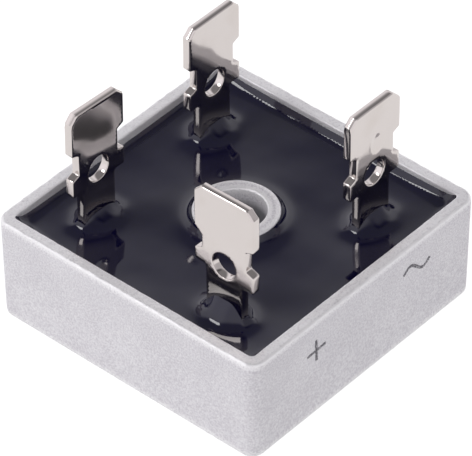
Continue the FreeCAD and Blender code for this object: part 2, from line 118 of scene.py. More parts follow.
def emptied(owner: bpy.types.Material | bpy.types.World) -> bpy.types.NodeTree:
    """Turns on the nodes of a material or world and clears them.

    Args:
        owner: the material or world.

    Returns:
        Its tree, with nothing in it.
    """
    owner.use_nodes = True
    owner.node_tree.nodes.clear()
    return owner.node_tree


# Finishes

@dataclass(frozen=True)
class Finish:
    """What a surface is made of; each kind of finish adds its own pattern."""

    title: str
    color: str
    roughness: float

    def material(self) -> bpy.types.Material:
        """Returns the Blender material of this finish, made once."""
        made = bpy.data.materials.get(self.title)
        if made:
            return made
        made = bpy.data.materials.new(self.title)
        tree = emptied(made)
        place = add(tree, "ShaderNodeTexCoord").outputs["Object"]
        in_mm = add(tree, "ShaderNodeMapping", {"Vector": place, "Scale": (1 / MM,) * 3})
        plain = {"Base Color": linear(self.color), "Roughness": self.roughness}
        shader = add(tree, "ShaderNodeBsdfPrincipled", plain | self.pattern(tree, in_mm))
        add(tree, "ShaderNodeOutputMaterial", {"Surface": shader})
        return made

    def pattern(self, tree: bpy.types.NodeTree, where: bpy.types.Node) -> dict[str, Any]:
        """Adds the nodes of the surface's pattern.

        Args:
            tree: the material's tree.
            where: the node that gives the place on the piece, in millimetres.

        Returns:
            What goes into the inputs of the Principled shader.
        """
        return {}


@dataclass(frozen=True)
class BlastedAluminium(Finish):
    """Cast aluminium blasted with fine beads: a matt pale grey that breaks into small light and dark grains.

    The blasting leaves it half matt, so its walls stay pale where they face the black casting. What is handled is
    polished brighter and smoother; the rim and the inner wall above the casting are made lighter the same way as a
    painted sheen with painted sparkle, and the bore is painted darker as shade.
    """

    dark: str = "#D6D3D8"
    # Lighter colour of edges polished by handling, and the painted sheen of the rim and inner wall
    burnish_and_sheen: str = "#FBFAFB"
    # Painted shade of the deep bore
    painted_bore_shade: str = "#929296"
    # Real dimples are nearer 0.08 mm across, less than a pixel, so they are drawn coarser
    grain: float = 0.17
    grain_range: Span = (0.33, 0.67)
    cloud: float = 2.6
    cloud_range: Span = (0.3, 0.7)
    cloud_depth: float = 0.1
    rub_and_sheen_range: Span = (0.1, 0.36)
    rub_polish: float = 0.33
    relief: float = 0.06
    calm_relief: float = 0.23
    rough_wear: float = 0.6
    metallic: float = 0.5
    rubbed_metallic: float = 0.42

    def pattern(self, tree: bpy.types.NodeTree, where: bpy.types.Node) -> dict[str, Any]:
        """Adds grains, faint clouds, edges lighter from handling and painted light; see Finish.pattern.

        The rim and the inner wall carry a painted sheen, and the bore a painted shade.
        """
        grains = add(tree, "ShaderNodeTexNoise", {"Vector": where, "Scale": 1 / self.grain, "Detail": 3.0,
                                                  "Roughness": 0.6})
        clouds = add(tree, "ShaderNodeTexNoise", {"Vector": where, "Scale": 1 / self.cloud, "Detail": 2.0})
        shade = add(tree, "ShaderNodeMapRange", {"Value": grains, "From Min": self.grain_range[0],
                                                 "From Max": self.grain_range[1]})
        drift = add(tree, "ShaderNodeMapRange", {"Value": clouds, "From Min": self.cloud_range[0],
                                                 "From Max": self.cloud_range[1], "To Min": -self.cloud_depth,
                                                 "To Max": self.cloud_depth})
        both = add(tree, "ShaderNodeMath", {"Value": shade, "Value_001": drift}, operation="ADD", use_clamp=True)
        tint = add(tree, "ShaderNodeMix", {"Factor_Float": both, "A_Color": linear(self.dark),
                                           "B_Color": linear(self.color)}, data_type="RGBA")
        wear_and_light_level = add(tree, "ShaderNodeAttribute", attribute_name="wear_and_light").outputs["Fac"]
        # Lighter where the value is high: edges polished by handling, and a painted sheen and sparkle on the rim and
        # inner wall
        rubbed_and_lit = add(tree, "ShaderNodeMath", {"Value": wear_and_light_level, "Value_001": grains}, operation="MULTIPLY")
        rub_and_sheen = add(tree, "ShaderNodeMapRange", {"Value": rubbed_and_lit, "From Min": self.rub_and_sheen_range[0],
                                               "From Max": self.rub_and_sheen_range[1]})
        bright = add(tree, "ShaderNodeMix", {"Factor_Float": rub_and_sheen, "A_Color": tint,
                                             "B_Color": linear(self.burnish_and_sheen)}, data_type="RGBA")
        # A value below nought is painted shade: the deep bore is coloured darker for the shadow inside it
        bore_shade_share = add(tree, "ShaderNodeMath", {"Value": wear_and_light_level, "Value_001": -1.0}, operation="MULTIPLY",
                     use_clamp=True)
        bright = add(tree, "ShaderNodeMix", {"Factor_Float": bore_shade_share, "A_Color": bright,
                                             "B_Color": linear(self.painted_bore_shade)}, data_type="RGBA")
        gloss = add(tree, "ShaderNodeMapRange", {"Value": rub_and_sheen, "To Min": self.roughness,
                                                 "To Max": self.roughness - self.rub_polish})
        metal = add(tree, "ShaderNodeMapRange", {"Value": rub_and_sheen, "To Min": self.metallic,
                                                 "To Max": self.rubbed_metallic})
        rough = add(tree, "ShaderNodeMapRange", {"Value": wear_and_light_level, "From Max": self.rough_wear,
                                                 "To Min": self.calm_relief, "To Max": 1.0})
        relief = add(tree, "ShaderNodeBump", {"Height": grains, "Distance": self.relief * MM, "Strength": rough})
        return {"Base Color": bright, "Roughness": gloss, "Normal": relief, "Metallic": metal}


@dataclass(frozen=True)
class PottingEpoxy(Finish):
    """Black epoxy poured and cured: a wet-looking gloss over blue-black, with a slow ripple and a few fine pits."""

    pale: str = "#121032"
    ripple: float = 3.2
    ripple_height: float = 0.012
    pit: float = 0.5
    haze_range: Span = (0.35, 0.8)
    haze: float = 0.06
    ior: float = 1.5

    def pattern(self, tree: bpy.types.NodeTree, where: bpy.types.Node) -> dict[str, Any]:
        """Adds the ripple, pits and a faint change of tint; see Finish.pattern."""
        slow = add(tree, "ShaderNodeTexNoise", {"Vector": where, "Scale": 1 / self.ripple, "Detail": 1.0})
        fine = add(tree, "ShaderNodeTexNoise", {"Vector": where, "Scale": 1 / self.pit, "Detail": 2.0})
        tint = add(tree, "ShaderNodeMix", {"Factor_Float": fine, "A_Color": linear(self.color),
                                           "B_Color": linear(self.pale)}, data_type="RGBA")
        haze = add(tree, "ShaderNodeMapRange", {"Value": fine, "From Min": self.haze_range[0],
                                                "From Max": self.haze_range[1], "To Min": self.roughness,
                                                "To Max": self.roughness + self.haze})
        swell = add(tree, "ShaderNodeBump", {"Height": slow, "Distance": self.ripple_height * MM})
        return {"Base Color": tint, "Roughness": haze, "Normal": swell, "IOR": self.ior}


@dataclass(frozen=True)
class NickelPlate(Finish):
    """Nickel plate on stamped brass: a warm, fairly bright metal with rolling lines and faint stains."""

    stain: str = "#C0B7B0"
    stain_range: Span = (0.5, 0.8)
    stain_depth: float = 0.4
    patch: float = 2.4
    gloss_range: Span = (0.3, 0.7)
    gloss_change: Span = (-0.02, 0.05)
    # Real rolling lines are a few hundredths of a millimetre apart, so these are drawn coarser to show
    line: float = 0.12
    line_stretch: float = 0.06
    relief: float = 0.0015
    relief_strength: float = 0.6

    def pattern(self, tree: bpy.types.NodeTree, where: bpy.types.Node) -> dict[str, Any]:
        """Adds upright rolling lines, stains and a soft change of gloss; see Finish.pattern."""
        drawn = add(tree, "ShaderNodeMapping", {"Vector": where, "Scale": (1.0, 1.0, self.line_stretch)})
        lines = add(tree, "ShaderNodeTexNoise", {"Vector": drawn, "Scale": 1 / self.line, "Detail": 2.0})
        patches = add(tree, "ShaderNodeTexNoise", {"Vector": where, "Scale": 1 / self.patch, "Detail": 3.0})
        stained = add(tree, "ShaderNodeMapRange", {"Value": patches, "From Min": self.stain_range[0],
                                                   "From Max": self.stain_range[1],
                                                   "To Max": self.stain_depth})
        tint = add(tree, "ShaderNodeMix", {"Factor_Float": stained, "A_Color": linear(self.color),
                                           "B_Color": linear(self.stain)}, data_type="RGBA")
        gloss = add(tree, "ShaderNodeMapRange", {"Value": patches, "From Min": self.gloss_range[0],
                                                 "From Max": self.gloss_range[1],
                                                 "To Min": self.roughness + self.gloss_change[0],
                                                 "To Max": self.roughness + self.gloss_change[1]})
        relief = add(tree, "ShaderNodeBump", {"Height": lines, "Distance": self.relief * MM,
                                              "Strength": self.relief_strength})
        return {"Base Color": tint, "Roughness": gloss, "Normal": relief, "Metallic": 1.0}


@dataclass(frozen=True)
class StampedInk(Finish):
    """Thin grey marking ink on blasted metal: flat, and broken where the grain stands through it."""

    bare: str = "#C9C7CB"
    # As wide as the case's grain, which is drawn coarser than the real one
    speck: float = 0.16
    speck_range: Span = (0.5, 0.62)

    def pattern(self, tree: bpy.types.NodeTree, where: bpy.types.Node) -> dict[str, Any]:
        """Lets specks of bare metal through the ink; see Finish.pattern."""
        specks = add(tree, "ShaderNodeTexNoise", {"Vector": where, "Scale": 1 / self.speck, "Detail": 3.0})
        through = add(tree, "ShaderNodeMapRange", {"Value": specks, "From Min": self.speck_range[0],
                                                   "From Max": self.speck_range[1]})
        tint = add(tree, "ShaderNodeMix", {"Factor_Float": through, "A_Color": linear(self.color),
                                           "B_Color": linear(self.bare)}, data_type="RGBA")
        return {"Base Color": tint}


@dataclass(frozen=True)
class PlainMetal(Finish):
    """Rolled copper or dull solder: a metal with clouds of a second tone and a fine uneven skin."""

    cloud_color: str = "#888888"
    cloud: float = 0.8
    relief: float = 0.01

    def pattern(self, tree: bpy.types.NodeTree, where: bpy.types.Node) -> dict[str, Any]:
        """Adds the second tone and the uneven skin; see Finish.pattern."""
        clouds = add(tree, "ShaderNodeTexNoise", {"Vector": where, "Scale": 1 / self.cloud, "Detail": 4.0})
        tint = add(tree, "ShaderNodeMix", {"Factor_Float": clouds, "A_Color": linear(self.color),
                                           "B_Color": linear(self.cloud_color)}, data_type="RGBA")
        relief = add(tree, "ShaderNodeBump", {"Height": clouds, "Distance": self.relief * MM})
        return {"Base Color": tint, "Normal": relief, "Metallic": 1.0}


@dataclass(frozen=True)
class FiredSolid(Finish):
    """Alumina or silicon: a hard matt surface with a fine crystalline speckle."""

    speck_color: str = "#888888"
    # Real crystals are a few hundredths of a millimetre wide, so these are drawn coarser to show
    speck: float = 0.12

    def pattern(self, tree: bpy.types.NodeTree, where: bpy.types.Node) -> dict[str, Any]:
        """Adds the speckle; see Finish.pattern."""
        specks = add(tree, "ShaderNodeTexVoronoi", {"Vector": where, "Scale": 1 / self.speck})
        tint = add(tree, "ShaderNodeMix", {"Factor_Float": specks, "A_Color": linear(self.color),
                                           "B_Color": linear(self.speck_color)}, data_type="RGBA")
        return {"Base Color": tint}


CASE_METAL = BlastedAluminium("blasted_aluminium", "#F2F1F3", 0.65)
COMPOUND = PottingEpoxy("potting_epoxy", "#0B0929", 0.03)
TAB_METAL = NickelPlate("nickel_plate", "#CCC5C2", 0.07)
INK = StampedInk("grey_marking_ink", "#6F6D73", 0.6)
FINISH_OF_SLOT: dict[str, Finish] = {
    "case_metal": CASE_METAL,
    "compound": COMPOUND,
    "tab_metal": TAB_METAL,
    "copper": PlainMetal("rolled_copper", "#C9805F", 0.35, cloud_color="#A9654A"),
    "solder": PlainMetal("dull_solder", "#B4B4B6", 0.45, cloud_color="#8C8D91", cloud=0.4, relief=0.03),
    "silicon": FiredSolid("sawn_silicon", "#34373D", 0.4, speck_color="#4A4E55"),
    "insulator": FiredSolid("fired_alumina", "#E9E6DE", 0.6, speck_color="#D8D4CA"),
}


# Meshes

def put_in_scene(name: str, data: bpy.types.ID) -> bpy.types.Object:
    """Makes an object and links it to the scene.

    Args:
        name: its name.
        data: its mesh, lamp or camera.

    Returns:
        The object, at the origin.
    """
    made = bpy.data.objects.new(name, data)
    bpy.context.scene.collection.objects.link(made)
    return made


def solid(name: str, points: Sequence[Sequence[float]], faces: Iterable[Sequence[int]], finish: Finish,
          smooth: float = 40.0) -> bpy.types.Object:
    """Makes a piece from points in millimetres and turns its faces outwards.

    Args:
        name: the piece's name.
        points: corners in millimetres, in the frame's axes.
        faces: corner numbers of each face.
        finish: the finish of the piece.
        smooth: edges sharper than this many degrees stay sharp.

    Returns:
        The new object, at the origin.
    """
    mesh = bpy.data.meshes.new(name)
    mesh.from_pydata([tuple(c * MM for c in point) for point in points], [], [tuple(face) for face in faces])
    build = bmesh.new()
    build.from_mesh(mesh)
    bmesh.ops.recalc_face_normals(build, faces=build.faces)
    build.to_mesh(mesh)
    build.free()
    mesh.shade_smooth()
    mesh.set_sharp_from_angle(angle=math.radians(smooth))
    mesh.materials.append(finish.material())
    return put_in_scene(name, mesh)


def band(here: Sequence[int], there: Sequence[int]) -> list[tuple[int, int, int, int]]:
    """Lists the quads between two closed rings of as many points.

    Args:
        here: the numbers of one ring's points, in order.
        there: the numbers of the other's.

    Returns:
        The quads.
    """
    afters = [*range(1, len(here)), 0]
    return [(here[step], here[after], there[after], there[step]) for step, after in enumerate(afters)]


def divided(here: Plane, there: Plane, count: int) -> list[Plane]:
    """Divides the way between two points evenly.

    Args:
        here: the first point.
        there: the last point, which isn't in the result.
        count: number of parts.

    Returns:
        The points.
    """
    return [(here[0] + (there[0] - here[0]) * step / count, here[1] + (there[1] - here[1]) * step / count)
            for step in range(count)]


def rounded_square(half: float, radius: float, per_side: int, per_corner: int) -> list[Plane]:
    """Walks round a square with round corners, from its +X side, the same number of points for any size.

    Args:
        half: half of the square's side.
        radius: corner radius.
        per_side: points on each straight side.
        per_corner: points on each corner.

    Returns:
        Points counter-clockwise.
    """
    flat = half - radius
    side = [(half, flat * (2 * step / per_side - 1)) for step in range(per_side)]
    turn = [step / per_corner * math.pi / 2 for step in range(per_corner)]
    corner = [(flat + radius * math.cos(a), flat + radius * math.sin(a)) for a in turn]
    points = side + corner
    for _ in range(3):
        points += [(-y, x) for x, y in points[-per_side - per_corner:]]
    return points


def circle(radius: float, count: int, centre: Plane = (0.0, 0.0), start: float = 0.0) -> list[Plane]:
    """Walks round a circle.

    Args:
        radius: the circle's radius.
        count: number of points.
        centre: its middle.
        start: angle of the first point.

    Returns:
        Points counter-clockwise.
    """
    turns = [start + 2 * math.pi * step / count for step in range(count)]
    return [(centre[0] + radius * math.cos(a), centre[1] + radius * math.sin(a)) for a in turns]


def fill(loops: Sequence[Sequence[Plane]], scattered: Sequence[Plane]) -> tuple[list[Plane], list[tuple[int, ...]]]:
    """Fills an outline with holes with triangles that use every point given.

    Args:
        loops: the outline first, counter-clockwise, then each hole.
        scattered: points inside.

    Returns:
        The points, loops first in their order, and the triangles.
    """
    points = [Vector(p) for loop in loops for p in loop] + [Vector(p) for p in scattered]
    edges, start = [], 0
    for loop in loops:
        edges += [(start + step, start + (step + 1) % len(loop)) for step in range(len(loop))]
        start += len(loop)
    out, _, faces, origins, _, _ = delaunay_2d_cdt(points, edges, [], 1, 1e-7)
    back = {new: old[0] for new, old in enumerate(origins) if old}
    outline, holes = np.array(loops[0]), [np.array(loop) for loop in loops[1:]]
    kept = []
    for face in faces:
        middle = sum((out[corner] for corner in face), Vector((0, 0))) / len(face)
        if inside(middle, outline) and not any(inside(middle, hole) for hole in holes):
            kept.append(tuple(back[corner] for corner in face))
    return [tuple(p) for p in points], kept


def inside(point: Sequence[float], loop: np.ndarray) -> bool:
    """Tells whether a point is inside a closed loop.

    Args:
        point: the point.
        loop: the loop's points, one row each.

    Returns:
        True inside.
    """
    x, y = point[0], point[1]
    ahead = np.roll(loop, -1, axis=0)
    spans = (loop[:, 1] > y) != (ahead[:, 1] > y)
    rise = np.where(spans, ahead[:, 1] - loop[:, 1], 1.0)
    cut = loop[:, 0] + (y - loop[:, 1]) / rise * (ahead[:, 0] - loop[:, 0])
    return bool(np.count_nonzero(spans & (cut > x)) % 2)


def uneven(place: Sequence[float], size: float, seed: float = 0.0) -> float:
    """Smooth noise from about -1 to 1 at a place.

    Args:
        place: the place, in millimetres.
        size: width of one bump, in millimetres.
        seed: moves the pattern.

    Returns:
        The noise.
    """
    return noise.noise(Vector(place) / size + Vector((seed, seed, seed)))


# The case

class WearAndPaintedLight(float, Enum):
    """Polish from handling, with painted light: 1 is bright, 0 is as blasted, and below 0 is painted shade.

    The inner wall and the rim are set high partly as a painted sheen.
    """

    RIM_EDGE = 1.0
    MOUTH = 0.9
    BOSS_EDGE = 0.8
    # The inner wall and the rim are set high partly as a painted sheen, not from handling alone
    INNER_WALL = 0.8
    RIM = 0.7
    BY_RIM_EDGE = 0.6
    BASE_EDGE = 0.5
    BORE_FOOT = 0.3
    FLAT = 0.2
    BLASTED = 0.0
    # Painted shade: the deep bore is coloured darker
    BORE_IN_SHADE = -0.9


@dataclass
class Case:
    """Aluminium tray with a boss round the screw hole, in one piece."""

    half_side: float
    height: float
    taper: float = 0.12
    corner: float = 1.3
    base_edge: float = 0.45
    rim_edge: float = 0.22
    rim_width: float = 1.15
    rim_break: float = 0.1
    cavity_corner: float = 0.4
    floor: float = 1.8
    boss_radius: float = 3.75
    boss_setback: float = 0.25
    boss_edge: float = 0.2
    hole_radius: float = 2.6
    # How finely the skin is divided, round it and along it
    per_side: int = 100
    per_corner: int = 12
    wall_rings: int = 14
    rim_rings: int = 6
    bore_rings: int = 6
    # Small bites and a slow sway that keep the upper edges from being ruled lines
    chatter: float = 0.05
    chatter_size: float = 0.7
    sway: float = 0.03
    sway_size: float = 4.0
    edge_band: float = 0.6

    @classmethod
    def from_frame(cls) -> "Case":
        """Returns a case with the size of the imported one."""
        low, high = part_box("case")
        return cls(half_side=high.x / MM, height=high.z / MM)

    @property
    def half_cavity(self) -> float:
        """Half of the cavity's side."""
        return self.half_side - self.rim_width

    @property
    def boss_top(self) -> float:
        """Height of the boss's flat top."""
        return self.height - self.boss_setback

    def square(self, half: float, radius: float, height: float) -> list[Place]:
        """Returns a ring of the square parts at a height."""
        return [(x, y, height) for x, y in rounded_square(half, radius, self.per_side, self.per_corner)]

    def round(self, radius: float, height: float) -> list[Place]:
        """Returns a ring of the round parts at a height, in step with the square ones."""
        count = 4 * (self.per_side + self.per_corner)
        start = -math.pi * self.per_side / count
        return [(x, y, height) for x, y in circle(radius, count, start=start)]

    def rings(self) -> list[Ring]:
        """Returns the rings of the whole skin in order; the last one joins the first."""
        return self.outer_wall() + self.rim() + self.inner_wall() + self.boss() + self.bore()

    def outer_wall(self) -> list[Ring]:
        """Returns the rings from the bore's foot across the base and up the leaning outer wall."""
        half_base = self.half_side - self.taper
        rings = [(self.round(self.hole_radius + self.boss_edge, 0), WearAndPaintedLight.FLAT),
                 (self.square(half_base - self.base_edge, self.corner - self.base_edge, 0), WearAndPaintedLight.FLAT)]
        for a in QUARTER[1:]:
            out = self.base_edge * (1 - math.sin(a))
            height = self.base_edge * (1 - math.cos(a))
            rings.append((self.square(half_base - out, self.corner - out, height), WearAndPaintedLight.BASE_EDGE))
        flat = self.height - self.rim_edge - self.base_edge
        for step in range(1, self.wall_rings + 1):
            height = self.base_edge + flat * step / self.wall_rings
            rings.append((self.square(half_base + self.taper * height / self.height, self.corner, height),
                          WearAndPaintedLight.BY_RIM_EDGE if step == self.wall_rings else WearAndPaintedLight.BLASTED))
        return rings

    def rim(self) -> list[Ring]:
        """Returns the rings over the rim's round outer edge, across it and over its broken inner edge."""
        rings = []
        for a in QUARTER[1:]:
            out = self.rim_edge * (1 - math.cos(a))
            height = self.height - self.rim_edge + self.rim_edge * math.sin(a)
            rings.append((self.square(self.half_side - out, self.corner - out, height),
                          WearAndPaintedLight.RIM_EDGE if a < QUARTER[-1] else WearAndPaintedLight.BY_RIM_EDGE))
        inner, outer = self.half_cavity + self.rim_break, self.half_side - self.rim_edge
        for step in range(1, self.rim_rings + 1):
            share = step / self.rim_rings
            radius = (self.corner - self.rim_edge) * (1 - share) + (self.cavity_corner + self.rim_break) * share
            rings.append((self.square(outer + (inner - outer) * share, radius, self.height),
                          WearAndPaintedLight.INNER_WALL if step == self.rim_rings else WearAndPaintedLight.RIM))
        low = 0.3 * self.rim_break
        rings.append((self.square(self.half_cavity + low, self.cavity_corner + low, self.height - low),
                      WearAndPaintedLight.RIM_EDGE))
        return rings

    def inner_wall(self) -> list[Ring]:
        """Returns the rings down the inner wall, which carries a painted sheen above the casting, to the tray's floor.
        """
        heights = [(self.height - self.rim_break, WearAndPaintedLight.MOUTH)]
        heights += [(self.height - depth, WearAndPaintedLight.INNER_WALL) for depth in (0.3, 0.7, 1.3)]
        heights += [(self.height - 2.2, WearAndPaintedLight.BLASTED), (self.floor, WearAndPaintedLight.BLASTED)]
        return [(self.square(self.half_cavity, self.cavity_corner, height), wear_and_light) for height, wear_and_light in heights]

    def boss(self) -> list[Ring]:
        """Returns the rings up the boss, over its round edge and across its top."""
        top = self.boss_top
        rings = [(self.round(self.boss_radius, height), WearAndPaintedLight.BLASTED)
                 for height in (self.floor, top - 1.6, top - 0.8, top - self.boss_edge)]
        for a in QUARTER[1:]:
            out = self.boss_edge * (1 - math.cos(a))
            height = top - self.boss_edge * (1 - math.sin(a))
            rings.append((self.round(self.boss_radius - out, height), WearAndPaintedLight.BOSS_EDGE))
        return rings + [(self.round((self.boss_radius + self.hole_radius) / 2, top), WearAndPaintedLight.FLAT)]

    def bore(self) -> list[Ring]:
        """Returns the rings over the bore's mouth, down its wall painted darker as shade, and out to its foot."""
        rings = []
        for a in QUARTER:
            out = self.boss_edge * (1 - math.sin(a))
            height = self.boss_top - self.boss_edge * (1 - math.cos(a))
            rings.append((self.round(self.hole_radius + out, height), WearAndPaintedLight.MOUTH))
        mouth = self.boss_top - self.boss_edge
        for step in range(1, self.bore_rings + 1):
            height = mouth - (mouth - self.boss_edge) * step / self.bore_rings
            rings.append((self.round(self.hole_radius, height), WearAndPaintedLight.BORE_IN_SHADE))
        for a in QUARTER[1:-1]:
            out = self.boss_edge * (1 - math.cos(a))
            rings.append((self.round(self.hole_radius + out, self.boss_edge * (1 - math.sin(a))), WearAndPaintedLight.BORE_FOOT))
        return rings

    def weathered(self, place: Place, wear_and_light: float) -> Place:
        """Nudges a point of an upper edge inwards, so that the edge isn't a ruled line.

        Args:
            place: the point.
            wear_and_light: how far the edge is polished by handling there, a value that also holds painted sheen and
                shade.

        Returns:
            The nudged point, never outside the case's box.
        """
        x, y, z = place
        if z < self.height / 2:
            return place
        bite = self.chatter * wear_and_light * (0.5 + 0.8 * uneven(place, self.chatter_size))
        bite += self.sway * wear_and_light * (0.5 + 0.5 * uneven(place, self.sway_size, 7.0))
        bite = max(bite, 0.0)
        reach = max(abs(x), abs(y))
        shrink = 1 - bite / reach if reach > self.half_side - self.edge_band else 1.0
        return x * shrink, y * shrink, z - bite

    def build(self) -> bpy.types.Object:
        """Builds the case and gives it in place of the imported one."""
        rings = self.rings()
        points = [self.weathered(place, wear_and_light) for ring, wear_and_light in rings for place in ring]
        count = len(rings[0][0])
        ids = [range(start, start + count) for start in range(0, len(points), count)]
        faces = [quad for here, there in zip(ids, ids[1:] + ids[:1]) for quad in band(here, there)]
        piece = solid("case_shell", points, faces, CASE_METAL, smooth=50)
        wear_and_light_level = piece.data.attributes.new("wear_and_light", "FLOAT", "POINT")
        wear_and_light_level.data.foreach_set("value", [wear_and_light for ring, wear_and_light in rings for _ in ring])
        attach(piece, "root")
        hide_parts("case")
        return piece


# The tabs

class Facing(Enum):
    """The way a tab's broad face runs, in degrees from the X axis."""

    ALONG_X = 0
    ALONG_Y = 90


@dataclass(frozen=True)
class Side:
    """One side of a blade's outline: tip, notch, ear and stem, with heights above the base."""

    tip: float = 21.85
    crop: float = 0.7
    crop_round: float = 0.0
    notch_top: float = 17.75
    notch_bottom: float = 15.1
    notch_depth: float = 0.78
    notch_slope: float = 0.3
    notch_round: float = 0.13
    notch_rise: float = 0.3
    shoulder_round: float = 0.2
    ear_bottom: float = 13.35
    ear_round: float = 0.2
    stem_round: float = 0.3

    def corners(self, half: float, stem: float, end: float) -> list[tuple[float, float, float]]:
        """Lists the side's corners from the foot to the tip.

        Args:
            half: half of the blade's width.
            stem: half of the stem's width.
            end: the foot's end.

        Returns:
            Each corner's place across and along the strip, and its radius.
        """
        neck = half - self.notch_depth
        return [(stem, end, 0.0), (stem, self.ear_bottom, self.stem_round),
                (half, self.ear_bottom, self.ear_round), (half, self.notch_bottom, self.shoulder_round),
                (neck, self.notch_bottom + self.notch_rise, self.notch_round),
                (neck, self.notch_top - self.notch_slope, self.notch_round),
                (half, self.notch_top, self.shoulder_round),
                (half, self.tip - self.crop, self.crop_round), (half - self.crop, self.tip, self.crop_round)]


@dataclass
class Tab:
    """Push-on blade with its stem and bent foot, stamped from one strip and coined to a bevel at its tip."""

    node: str
    x: float
    y: float
    facing: Facing
    foot_side: int
    seed: float
    left: Side = Side()
    right: Side = Side()
    dimple: Plane | None = None
    wetting: float = 0.8
    half_width: float = 3.15
    half_thick: float = 0.4
    half_stem: float = 1.95
    hole_radius: float = 1.25
    hole_height: float = 14.7
    hole_points: int = 48
    bend_start: float = 4.6
    bend_radius: float = 0.9
    foot_reach: float = 2.4
    edge_round: float = 0.08
    tip_bevel: float = 0.14
    bevel_blend: float = 0.2
    warp: float = 0.035
    warp_size: float = 3.1
    dimple_half: Plane = (0.8, 1.0)
    dimple_depth: float = 0.08
    spacing: float = 0.22

    @property
    def stem_half(self) -> Plane:
        """Half of the stem's section along X and along Y."""
        section = (self.half_stem, self.half_thick)
        return section if self.facing is Facing.ALONG_X else section[::-1]

    @property
    def strip_end(self) -> float:
        """The foot's end, measured along the strip as if it were straight."""
        return self.bend_start - self.bend_radius * math.pi / 2 - (self.foot_reach - self.bend_radius)

    def outline(self) -> list[Plane]:
        """Returns the whole outline counter-clockwise, with points no further apart than the spacing."""
        right = self.right.corners(self.half_width, self.half_stem, self.strip_end)
        left = self.left.corners(self.half_width, self.half_stem, self.strip_end)
        return softened(right + [(-across, along, radius) for across, along, radius in reversed(left)], self.spacing)

    def bent(self, across: float, along: float, depth: float) -> Place:
        """Puts a point of the flat strip where the bent tab has it.

        Args:
            across: across the strip from its middle.
            along: along the strip, the height where it stands upright.
            depth: through its thickness from the middle.

        Returns:
            The place in the frame.
        """
        out, height = depth, along
        turn = (self.bend_start - along) / self.bend_radius
        if turn > math.pi / 2:
            beyond = self.bend_start - self.bend_radius * math.pi / 2 - along
            out, height = self.bend_radius + beyond, self.bend_start - self.bend_radius + depth
        elif turn > 0:
            reach = self.bend_radius - depth
            out = self.bend_radius - reach * math.cos(turn)
            height = self.bend_start - reach * math.sin(turn)
        out *= self.foot_side
        if self.facing is Facing.ALONG_Y:
            return self.x - out, self.y + across, height
        return self.x + across, self.y + out, height

    def buckle(self, across: float, along: float) -> float:
        """Returns how far the blade is warped out of its plane at a point, less the dent of its dimple."""
        upright = along > self.bend_start + 1
        out = self.warp * uneven((across, along, 0), self.warp_size, self.seed) if upright else 0.0
        if self.dimple:
            offsets = [(here - middle) / half for here, middle, half in
                       zip((across, along), self.dimple, self.dimple_half)]
            out -= self.dimple_depth * max(1.0 - math.hypot(*offsets) ** 3, 0.0)
        return out

    def profile(self, along: float) -> list[tuple[float, float]]:
        """Returns the edge's cross-section at a height, from the face to the middle of the edge.

        Args:
            along: the height.

        Returns:
            Pairs of how far in from the outline and how far below the face: a small radius, or the tip's flat bevel.
        """
        r, b = self.edge_round, self.tip_bevel
        rounded = [(r * (1 - math.sin(a)), r * (1 - math.cos(a)))
                   for a in (0, math.pi / 6, math.pi / 3, math.pi / 2)]
        # The bevel's own two edges are a little soft
        flat = [(b, 0.0), (0.82 * b, 0.07 * b), (0.07 * b, 0.82 * b), (0.0, b)]
        low = min(self.left.tip - self.left.crop, self.right.tip - self.right.crop)
        share = min(max((along - low + self.bevel_blend / 2) / self.bevel_blend, 0.0), 1.0)
        return [tuple(f * share + s * (1 - share) for f, s in zip(*pair)) for pair in zip(flat, rounded)]

    def build(self) -> bpy.types.Object:
        """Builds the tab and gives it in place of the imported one."""
        hole = circle(self.hole_radius, self.hole_points, centre=(0, self.hole_height))[::-1]
        loops = [self.outline(), hole]
        profiles = [[self.profile(along) for _, along in loop] for loop in loops]
        inner = [offset(loop, [cut[0][0] for cut in cuts]) for loop, cuts in zip(loops, profiles)]
        flat, triangles = fill(inner, self.grid_inside(inner))
        points, faces = [], []
        for face in (1, -1):
            start = len(points)
            points += [self.bent(a, s, face * self.half_thick + self.buckle(a, s)) for a, s in flat]
            faces += [tuple(start + corner for corner in triangle) for triangle in triangles]
        loop_start = 0
        for loop, cuts in zip(loops, profiles):
            count = len(loop)
            ids = [range(loop_start, loop_start + count)]
            for face, number in ((1, 1), (1, 2), (1, 3), (-1, 3), (-1, 2), (-1, 1)):
                moved = offset(loop, [cut[number][0] for cut in cuts])
                ids.append(range(len(points), len(points) + count))
                points += [self.bent(a, s, face * (self.half_thick - cut[number][1]) + self.buckle(a, s))
                           for (a, s), cut in zip(moved, cuts)]
            ids.append(range(len(flat) + loop_start, len(flat) + loop_start + count))
            for here, there in zip(ids, ids[1:]):
                faces += band(here, there)
            loop_start += count
        piece = solid(self.node.replace("terminal", "tab"), points, faces, TAB_METAL, smooth=35)
        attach(piece, "root")
        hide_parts(self.node)
        return piece

    def grid_inside(self, loops: Sequence[Sequence[Plane]]) -> list[Plane]:
        """Returns points of a grid that lie inside the blade, clear of its edges.

        Args:
            loops: the outline and the hole.

        Returns:
            The points.
        """
        outline, hole = np.array(loops[0]), np.array(loops[1])
        edge = np.vstack([outline, hole])
        points = []
        rows = int((outline[:, 1].max() - self.strip_end) / self.spacing)
        columns = int(2 * self.half_width / self.spacing)
        for row in range(rows + 1):
            for column in range(columns + 1):
                p = (-self.half_width + column * self.spacing + 0.5 * self.spacing * (row % 2),
                     self.strip_end + row * self.spacing)
                if np.hypot(edge[:, 0] - p[0], edge[:, 1] - p[1]).min() < 0.6 * self.spacing:
                    continue
                if inside(p, outline) and not inside(p, hole):
                    points.append(p)
        return points


